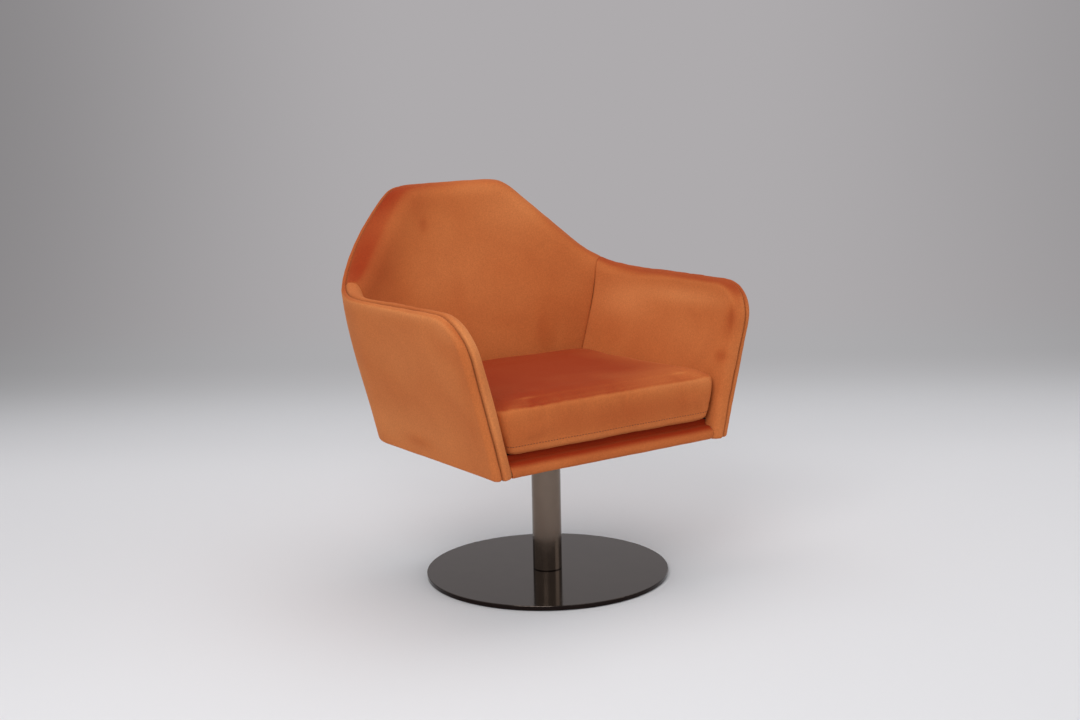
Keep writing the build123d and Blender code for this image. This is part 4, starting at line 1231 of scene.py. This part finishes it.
# The apron's patch is painted shadow under the cushion's front edge.
APRON_PAINTED_SHADOW = [((0.0, -0.208, 0.320), (1.0, 0.008, 0.009), -1.0)]
COVER_PAINTED_LIGHT = [((-0.36, -0.05, 0.594), (0.04, 0.22, 0.014), 0.7),
             ((-0.35, -0.20, 0.575), (0.05, 0.05, 0.03), 0.45),
             ((-0.36, -0.05, 0.50), (0.08, 0.20, 0.06), 0.15),
             ((-0.28, 0.10, 0.33), (0.09, 0.20, 0.05), 0.40),
             ((-0.36, -0.20, 0.56), (0.05, 0.06, 0.04), -0.12),
             ((-0.33, -0.22, 0.44), (0.05, 0.03, 0.12), -0.15),
             ((-0.285, 0.03, 0.318), (0.03, 0.05, 0.012), -0.40)]
LEFT_PAINTED_LIGHT = [((-0.33, -0.22, 0.56), (0.06, 0.05, 0.05), 0.75),
            ((-0.29, -0.24, 0.42), (0.06, 0.02, 0.12), 0.45),
            ((-0.33, 0.19, 0.605), (0.03, 0.04, 0.02), 0.20)]
RIGHT_PAINTED_LIGHT = [((0.31, 0.11, 0.53), (0.06, 0.10, 0.04), 0.60),
             ((0.32, -0.06, 0.555), (0.06, 0.12, 0.018), 0.65),
             ((0.30, -0.09, 0.48), (0.06, 0.09, 0.05), 0.15),
             ((0.31, -0.222, 0.525), (0.02, 0.016, 0.035), -0.50),
             ((0.288, -0.215, 0.45), (0.015, 0.016, 0.012), -0.50),
             ((0.29, -0.225, 0.36), (0.03, 0.03, 0.06), -0.20)]
BACK_PAINTED_LIGHT = [((-0.26, 0.24, 0.66), (0.09, 0.12, 0.13), -0.55),
            ((-0.16, 0.32, 0.77), (0.11, 0.05, 0.05), -0.45),
            ((-0.09, 0.30, 0.71), (0.012, 0.03, 0.014), -0.35),
            ((0.05, 0.33, 0.785), (0.07, 0.03, 0.02), 0.35),
            ((0.14, 0.29, 0.73), (0.08, 0.05, 0.06), 0.35),
            ((-0.03, 0.28, 0.62), (0.12, 0.06, 0.10), 0.15),
            ((0.17, 0.23, 0.46), (0.02, 0.04, 0.05), -0.22)]

# Each fold: its start and end, its width, and how far it rises (or sinks, below zero).
COVER_FOLDS = [((-0.289, 0.086, 0.338), (-0.283, -0.020, 0.308), 0.010, 1.2 * MM)]
LEFT_FOLDS = [((-0.325, 0.222, 0.612), (-0.345, 0.125, 0.592), 0.009, 1.5 * MM)]
RIGHT_FOLDS = [((0.318, -0.212, 0.560), (0.300, -0.226, 0.480), 0.007, -1.4 * MM),
               ((0.300, -0.205, 0.470), (0.284, -0.215, 0.437), 0.005, 1.2 * MM),
               ((0.292, -0.222, 0.460), (0.290, -0.205, 0.438), 0.004, -1.0 * MM)]
BACK_FOLDS = [((0.185, 0.215, 0.400), (0.225, 0.235, 0.520), 0.010, -1.2 * MM)]


# ---------------------------------------------------------------- studio

FOCAL_PIXELS, PHOTO_WIDTH, SENSOR = 1605.78, 1080.0, 36.0
CAMERA_PLACE = Vector((-1.9044, -2.5853, 1.0191))
CAMERA_AZIMUTH, CAMERA_DROP, CAMERA_ROLL = (math.radians(a) for a in (-36.244, 10.087, -1.132))


def camera():
    """The camera at the photograph's place and angle."""
    a, e, roll = CAMERA_AZIMUTH, CAMERA_DROP, CAMERA_ROLL
    ahead = Vector((-math.sin(a) * math.cos(e), math.cos(a) * math.cos(e), -math.sin(e)))
    right = Vector((math.cos(a), math.sin(a), 0))
    up = right.cross(ahead)
    across = right * math.cos(roll) + up * math.sin(roll)
    above = up * math.cos(roll) - right * math.sin(roll)
    data = bpy.data.cameras.new("studio_camera")
    data.lens = FOCAL_PIXELS / PHOTO_WIDTH * SENSOR
    data.sensor_width = SENSOR
    made = bpy.data.objects.new("studio_camera", data)
    bpy.context.scene.collection.objects.link(made)
    made.matrix_world = Matrix.LocRotScale(
        CAMERA_PLACE, Matrix((across, above, -ahead)).transposed(), None)
    bpy.context.scene.camera = made
    return ahead


def lamp(name, place, target, size, power, colour=(1, 1, 1)):
    """A soft square lamp that faces a point."""
    data = bpy.data.lights.new(name, "AREA")
    data.energy, data.size, data.color = power, size, colour
    made = bpy.data.objects.new(name, data)
    bpy.context.scene.collection.objects.link(made)
    turn = (Vector(target) - Vector(place)).to_track_quat("-Z", "Y")
    made.matrix_world = Matrix.LocRotScale(Vector(place), turn, None)


def run_of_tones(material, value, tones):
    """A colour that passes through tones at given values."""
    colour = tones[0][1]
    for (low, _), (high, tone) in zip(tones, tones[1:]):
        share = add_node(material, "MapRange", {"interpolation_type": "SMOOTHSTEP"}, {
            "Value": value, "From Min": low, "From Max": high}).outputs["Result"]
        colour = add_node(material, "MixRGB", inputs={
            "Fac": share, "Color1": colour, "Color2": tone}).outputs["Color"]
    return colour


def studio():
    """A pale floor that runs up into a grey backdrop behind the chair, far enough away."""
    colours = bpy.context.scene.tub_colours
    ahead = camera()
    flat = Vector((ahead.x, ahead.y, 0)).normalized()
    side = Vector((flat.y, -flat.x, 0))
    wall, turn, top = 4.2, 1.2, 5.0
    section = [(-6.0, 0.0), (-2.0, 0.0), (0.0, 0.0), (wall - turn, 0.0)]
    section += [(wall - turn + turn * math.sin(math.radians(k)),
                 turn - turn * math.cos(math.radians(k))) for k in range(10, 91, 10)]
    section += [(wall, top)]
    mesh = bmesh.new()
    rows = [[side * across + flat * out + Vector((0, 0, up)) for across in (-7, -2, 2, 7)]
            for out, up in section]
    add_grid(mesh, rows)
    for face in mesh.faces:
        if face.normal.dot(CAMERA_PLACE - face.calc_center_median()) < 0:
            face.normal_flip()
    floor = add_object("studio_floor", mesh)
    made, shader, place = new_material("paper_backdrop_painted_light")
    turned = add_node(made, "Mapping", {"vector_type": "POINT"}, {
        "Vector": place, "Rotation": (0, 0, -math.atan2(flat.y, flat.x))}).outputs["Vector"]
    parts = add_node(made, "SeparateXYZ", inputs={"Vector": turned}).outputs
    run = add_node(made, "Math", {"operation": "ADD"}, {0: parts["X"], 1: parts["Z"]}).outputs[0]
    # A painted falloff of light: the tone runs from the pale floor to the grey backdrop with
    # distance, and darkens towards the sides.
    shade = run_of_tones(made, run, (
        (0.4, colours.floor), (1.3, colours.floor_far), (2.6, colours.backdrop_low),
        (3.6, colours.backdrop), (6.0, colours.backdrop)))
    wide = add_node(made, "MapRange", {"interpolation_type": "SMOOTHSTEP"}, {
        "Value": parts["Y"], "From Min": 0.5, "From Max": 2.9, "To Min": 1.0, "To Max": 0.56})
    other = add_node(made, "MapRange", {"interpolation_type": "SMOOTHSTEP"}, {
        "Value": parts["Y"], "From Min": -0.8, "From Max": -3.2, "To Min": 1.0, "To Max": 0.72})
    sides = add_node(made, "Math", {"operation": "MULTIPLY"}, {
        0: wide.outputs["Result"], 1: other.outputs["Result"]}).outputs[0]
    painted_light_falloff = add_node(made, "MixRGB", {"blend_type": "MULTIPLY"}, {
        "Fac": 1.0, "Color1": shade, "Color2": sides}).outputs["Color"]
    # Behind the chair the paper glows for the camera, for gloss and for glass, with a painted run of
    # light: pale near the chair, grey further back, dimmer to the sides.
    seen = add_node(made, "LightPath").outputs
    rays = seen["Is Camera Ray"]
    for kind in ("Is Glossy Ray", "Is Transmission Ray"):
        rays = add_node(made, "Math", {"operation": "MAXIMUM"}, {0: rays, 1: seen[kind]}).outputs[0]
    far = add_node(made, "MapRange", {"interpolation_type": "SMOOTHSTEP"}, {
        "Value": run, "From Min": 0.7, "From Max": 2.2}).outputs["Result"]
    shown = add_node(made, "Math", {"operation": "MULTIPLY"}, {0: rays, 1: far}).outputs[0]
    painted_glow = add_node(made, "Emission", inputs={"Color": painted_light_falloff}).outputs["Emission"]
    shader.inputs["Base Color"].default_value = colours.floor
    shader.inputs["Roughness"].default_value = 0.9
    shader.inputs["Specular IOR Level"].default_value = 0.1
    mixed = add_node(made, "MixShader", inputs={
        0: shown, 1: shader.outputs["BSDF"], 2: painted_glow}).outputs["Shader"]
    link(made, mixed, made.node_tree.nodes["Material Output"].inputs["Surface"])
    floor.data.materials.append(made)
    lights = bpy.context.scene.tub_studio
    lamp("key_softbox", (-2.6, -2.0, 2.6), (0, 0, 0.4), 2.2, lights.key)
    lamp("fill_softbox", (2.6, -2.4, 1.8), (0, 0, 0.4), 2.4, lights.fill)
    lamp("top_softbox", (0.3, 0.6, 3.2), (0, 0, 0.4), 2.6, lights.top)
    world = bpy.data.worlds.new("studio_air")
    world.use_nodes = True
    world.node_tree.nodes["Background"].inputs["Color"].default_value = linear("#E9E8EA")
    world.node_tree.nodes["Background"].inputs["Strength"].default_value = lights.air
    scene = bpy.context.scene
    scene.world = world
    scene.view_settings.view_transform = "Standard"


# ---------------------------------------------------------------- settings


def length(name, default, description):
    return bpy.props.FloatProperty(name=name, default=default, description=description,
                                   unit="LENGTH", subtype="DISTANCE", precision=5)


def number(name, default, description):
    return bpy.props.FloatProperty(name=name, default=default, description=description)


def colour(name, code, description):
    return bpy.props.FloatVectorProperty(name=name, default=linear(code), size=4, min=0, max=1,
                                         subtype="COLOR", description=description)


class TubSizes(bpy.types.PropertyGroup):
    """Sizes of the tub's upholstery."""
    wrap: length("Rim round", 0.012, "Radius of the outer cover's round over an arm's rim")
    wrap_back: length("Back's round", 0.0068, "Radius of that round along the back's rim")
    seam_inset: length("Seam inset", 0.0170, "Distance of an arm's rim seam from the outside")
    seam_inset_back: length("Back's seam inset", 0.0088, "The same along the back's rim")
    roll: length("Inner roll", 0.012, "Radius where the lining rolls onto the inner wall")
    field: length("Outer field", 0.023, "Depth below the rim where the plain outer wall starts")
    inner_field: length("Inner field", 0.021, "Depth below an arm's rim of its plain inner wall")
    roll_back: length("Back's roll", 0.0165, "Reach of the roll along the back's rim")
    roll_down: length("Back's roll, down", 0.034, "Reach of that roll down the inner back")
    inner_field_back: length("Back's field", 0.044, "Depth below the rim of the plain inner back")
    crown: length("Rim crown", 0.0036, "How far the rim's padding stands up")
    seam_depth: length("Seam depth", 0.0065, "How far the panels turn down into the rim's seam")
    seam_depth_back: length("Back's seam depth", 0.0020, "The same along the back's rim")
    corner_depth: length("Corner seam", 0.0026, "How far they turn down into a corner's seam")
    dip: length("Seam dip", 0.0019, "How far the cloth sinks beside a seam")
    lap: length("Seam lap", 0.0007, "Half the width of a seam's groove")
    tuck: length("Seam tuck", 0.0004, "How far each panel passes the other below the seam")


class CushionSizes(bpy.types.PropertyGroup):
    """Sizes of the loose cushion and of its simulation."""
    start_inset: length("Start inset", 0.0016, "How much smaller the cushion starts")
    voxel: length("Remesh size", 0.005, "Cell size of the mesh that is simulated")
    pressure: number("Pressure", 4.0, "Air pressure of the simulation")
    side_cap: length("Side cap", 0.003, "Furthest that a side may swell")
    crown_cap: length("Crown cap", 0.006, "Furthest that the top may swell")
    seam_depth: length("Seam depth", 0.0011, "How far the upper seam sinks")
    stitch_pitch: length("Stitch pitch", 0.0068, "Distance from stitch to stitch")
    stitch_length: length("Stitch length", 0.0046, "Length of one stitch")


class TubColours(bpy.types.PropertyGroup):
    """Colours of the finishes."""
    # The brushed and dark velvet are lit and shaded copies of the velvet: painted highlight and
    # painted shade, mixed in by the pieces' attribute.
    velvet_painted_highlight: colour("Velvet, brushed", "#D98A52", "Pile that leans to the light")
    velvet_mid: colour("Velvet", "#C36E3A", "Most of the velvet")
    velvet_deep: colour("Velvet, shaded", "#BA6534", "Pile that leans a little away")
    velvet_painted_shade: colour("Velvet, dark", "#922A08", "Pile that leans away from the light")
    velvet_sheen: colour("Velvet sheen", "#FFB26E", "Tint of the pile's sheen")
    seam_shadow: colour("Seam", "#4A1D0C", "Thread and shadow in a seam")
    bronze: colour("Bronze plating", "#76685D", "The column")
    bronze_disc: colour("Bronze plating, disc", "#544B45", "The round foot")
    # This colour is also the painted shadow line at the column's foot.
    bronze_edge_and_foot_shadow: colour("Bronze plating, edge", "#2A2220", "The disc's turned edge")
    steel: colour("Zinc plating", "#BFBFC2", "Small steel parts")
    black_steel: colour("Black oxide", "#3A3A3C", "The swivel plate")
    birch_light: colour("Birch, light", "#D9BE93", "Pale birch")
    birch_dark: colour("Birch, grain", "#B99563", "Grain lines")
    acetal: colour("Acetal", "#E6E2D8", "Bushes and ball cage")
    # The floor's and backdrop's tones form a painted falloff of light, from the pale floor near the
    # chair to the grey backdrop.
    floor: colour("Floor", "#E2E2E4", "Pale studio floor")
    floor_far: colour("Floor, far", "#C4C4C7", "Floor behind the chair")
    backdrop_low: colour("Backdrop, low", "#ADACAE", "Where the floor turns up")
    backdrop: colour("Backdrop", "#AEABAD", "Grey behind the chair")


class StudioLights(bpy.types.PropertyGroup):
    """Strengths of the lamps."""
    key: number("Key", 68.0, "Large softbox at the front left, in watts")
    fill: number("Fill", 18.0, "Softbox at the front right, in watts")
    top: number("Top", 30.0, "Softbox over the chair, in watts")
    air: number("Air", 0.62, "Even light from all round")


# ---------------------------------------------------------------- operators


class TUB_OT_studio(bpy.types.Operator):
    """Sets up the floor, the lamps and the camera"""
    bl_idname = "tub.studio"
    bl_label = "Studio"

    def execute(self, context):
        studio()
        return {"FINISHED"}


class TUB_OT_frame_finishes(bpy.types.Operator):
    """Gives the metal, timber and plastic of the frame their finishes"""
    bl_idname = "tub.frame_finishes"
    bl_label = "Frame finishes"

    def execute(self, context):
        kinds = {"bronze_steel": "bronze", "steel": "steel", "black_steel": "black_steel",
                 "bush_plastic": "acetal", "timber": "birch", "foam": "foam", "felt": "felt",
                 "lining_cloth": "dust_cloth", "velvet": "velvet"}
        for part in frame["record"]["subparts"]:
            data = frame["nodes"][part["node"]].data
            data.materials.clear()
            kind = "disc" if part["node"] == "base_disc" else kinds[part["material_slot"]]
            data.materials.append(finish(kind))
        return {"FINISHED"}


class TUB_OT_outer_cover(bpy.types.Operator):
    """Makes the velvet outside of the tub"""
    bl_idname = "tub.outer_cover"
    bl_label = "Outer cover"

    def execute(self, context):
        made = clothe(outer_cover(), "seat", COVER_FOLDS, COVER_PAINTED_LIGHT, (0.08, 0.6, (0.3, 0.8)),
                      "outer_cover")
        return {"FINISHED"}


class TUB_OT_linings(bpy.types.Operator):
    """Makes the velvet inside of the arms and the back, with their padding"""
    bl_idname = "tub.linings"
    bl_label = "Arm and back linings"

    def execute(self, context):
        for side, folds, patches, lean in (("left", LEFT_FOLDS, LEFT_PAINTED_LIGHT, 0.2),
                                           ("right", RIGHT_FOLDS, RIGHT_PAINTED_LIGHT, 0.8)):
            made = clothe(arm_lining(side), "seat", folds, patches, (0.1, lean, (0.38, 0.85)),
                          side + "_arm_lining", side + "_arm_padding")
        made = clothe(back_lining(), "seat", BACK_FOLDS, BACK_PAINTED_LIGHT, (0.08, 0.55, (0.3, 0.9)),
                      "back_lining", "back_padding")
        return {"FINISHED"}


class TUB_OT_seat_platform(bpy.types.Operator):
    """Makes the apron, the deck under the cushion and the dust cloth below"""
    bl_idname = "tub.seat_platform"
    bl_label = "Apron, deck and dust cloth"

    def execute(self, context):
        # The apron gets painted shade where its lip faces up, and painted shadow on its top under the
        # cushion.
        made = clothe(apron(), "seat", [], APRON_PAINTED_SHADOW, (-0.15, 0.9, (0.3, 0.95)), "front_apron")
        made = deck()
        dress(made, "seat", "lining_cloth", finish("dust_cloth"), "deck_cloth", "deck_foam")
        made, area = dust_cloth()
        dress(made, "seat", "lining_cloth", finish("dust_cloth"), "dust_cloth")
        return {"FINISHED"}


class TUB_OT_cushion(bpy.types.Operator):
    """Makes the loose seat cushion and its row of stitches"""
    bl_idname = "tub.cushion"
    bl_label = "Seat cushion"

    def execute(self, context):
        made, lines = cushion()
        clothe(made, "cushion", [], CUSHION_PAINTED_LIGHT, (0.0, 0.9, (0.55, 0.99), lines), "cushion_core",
               "cushion_top_cover", "cushion_border", "cushion_underside")
        made = top_stitches(made)
        dress(made, "cushion", "velvet", finish("thread"))
        return {"FINISHED"}


class TUB_PT_panel(bpy.types.Panel):
    """The chair's operators and settings"""
    bl_label = "Tub armchair"
    bl_idname = "TUB_PT_panel"
    bl_space_type = "VIEW_3D"
    bl_region_type = "UI"
    bl_category = "Tub armchair"

    def draw(self, context):
        for operator in OPERATORS:
            self.layout.operator(operator.bl_idname)
        for name in SETTINGS:
            group = getattr(context.scene, name)
            box = self.layout.box()
            for prop in group.bl_rna.properties:
                if not prop.is_readonly and prop.identifier != "name":
                    box.prop(group, prop.identifier)


SETTINGS = {"tub_sizes": TubSizes, "cushion_sizes": CushionSizes, "tub_colours": TubColours,
            "tub_studio": StudioLights}
OPERATORS = [TUB_OT_studio, TUB_OT_frame_finishes, TUB_OT_outer_cover, TUB_OT_linings,
             TUB_OT_seat_platform, TUB_OT_cushion]


def register():
    for made in (*SETTINGS.values(), *OPERATORS, TUB_PT_panel):
        bpy.utils.register_class(made)
    for name, group in SETTINGS.items():
        setattr(bpy.types.Scene, name, bpy.props.PointerProperty(type=group))


def unregister():
    for name in SETTINGS:
        delattr(bpy.types.Scene, name)
    for made in (TUB_PT_panel, *reversed(OPERATORS), *reversed(SETTINGS.values())):
        bpy.utils.unregister_class(made)


def main():
    register()
    for operator in OPERATORS:
        getattr(bpy.ops.tub, operator.bl_idname.split(".")[1])()


if __name__ == "__main__":
    main()
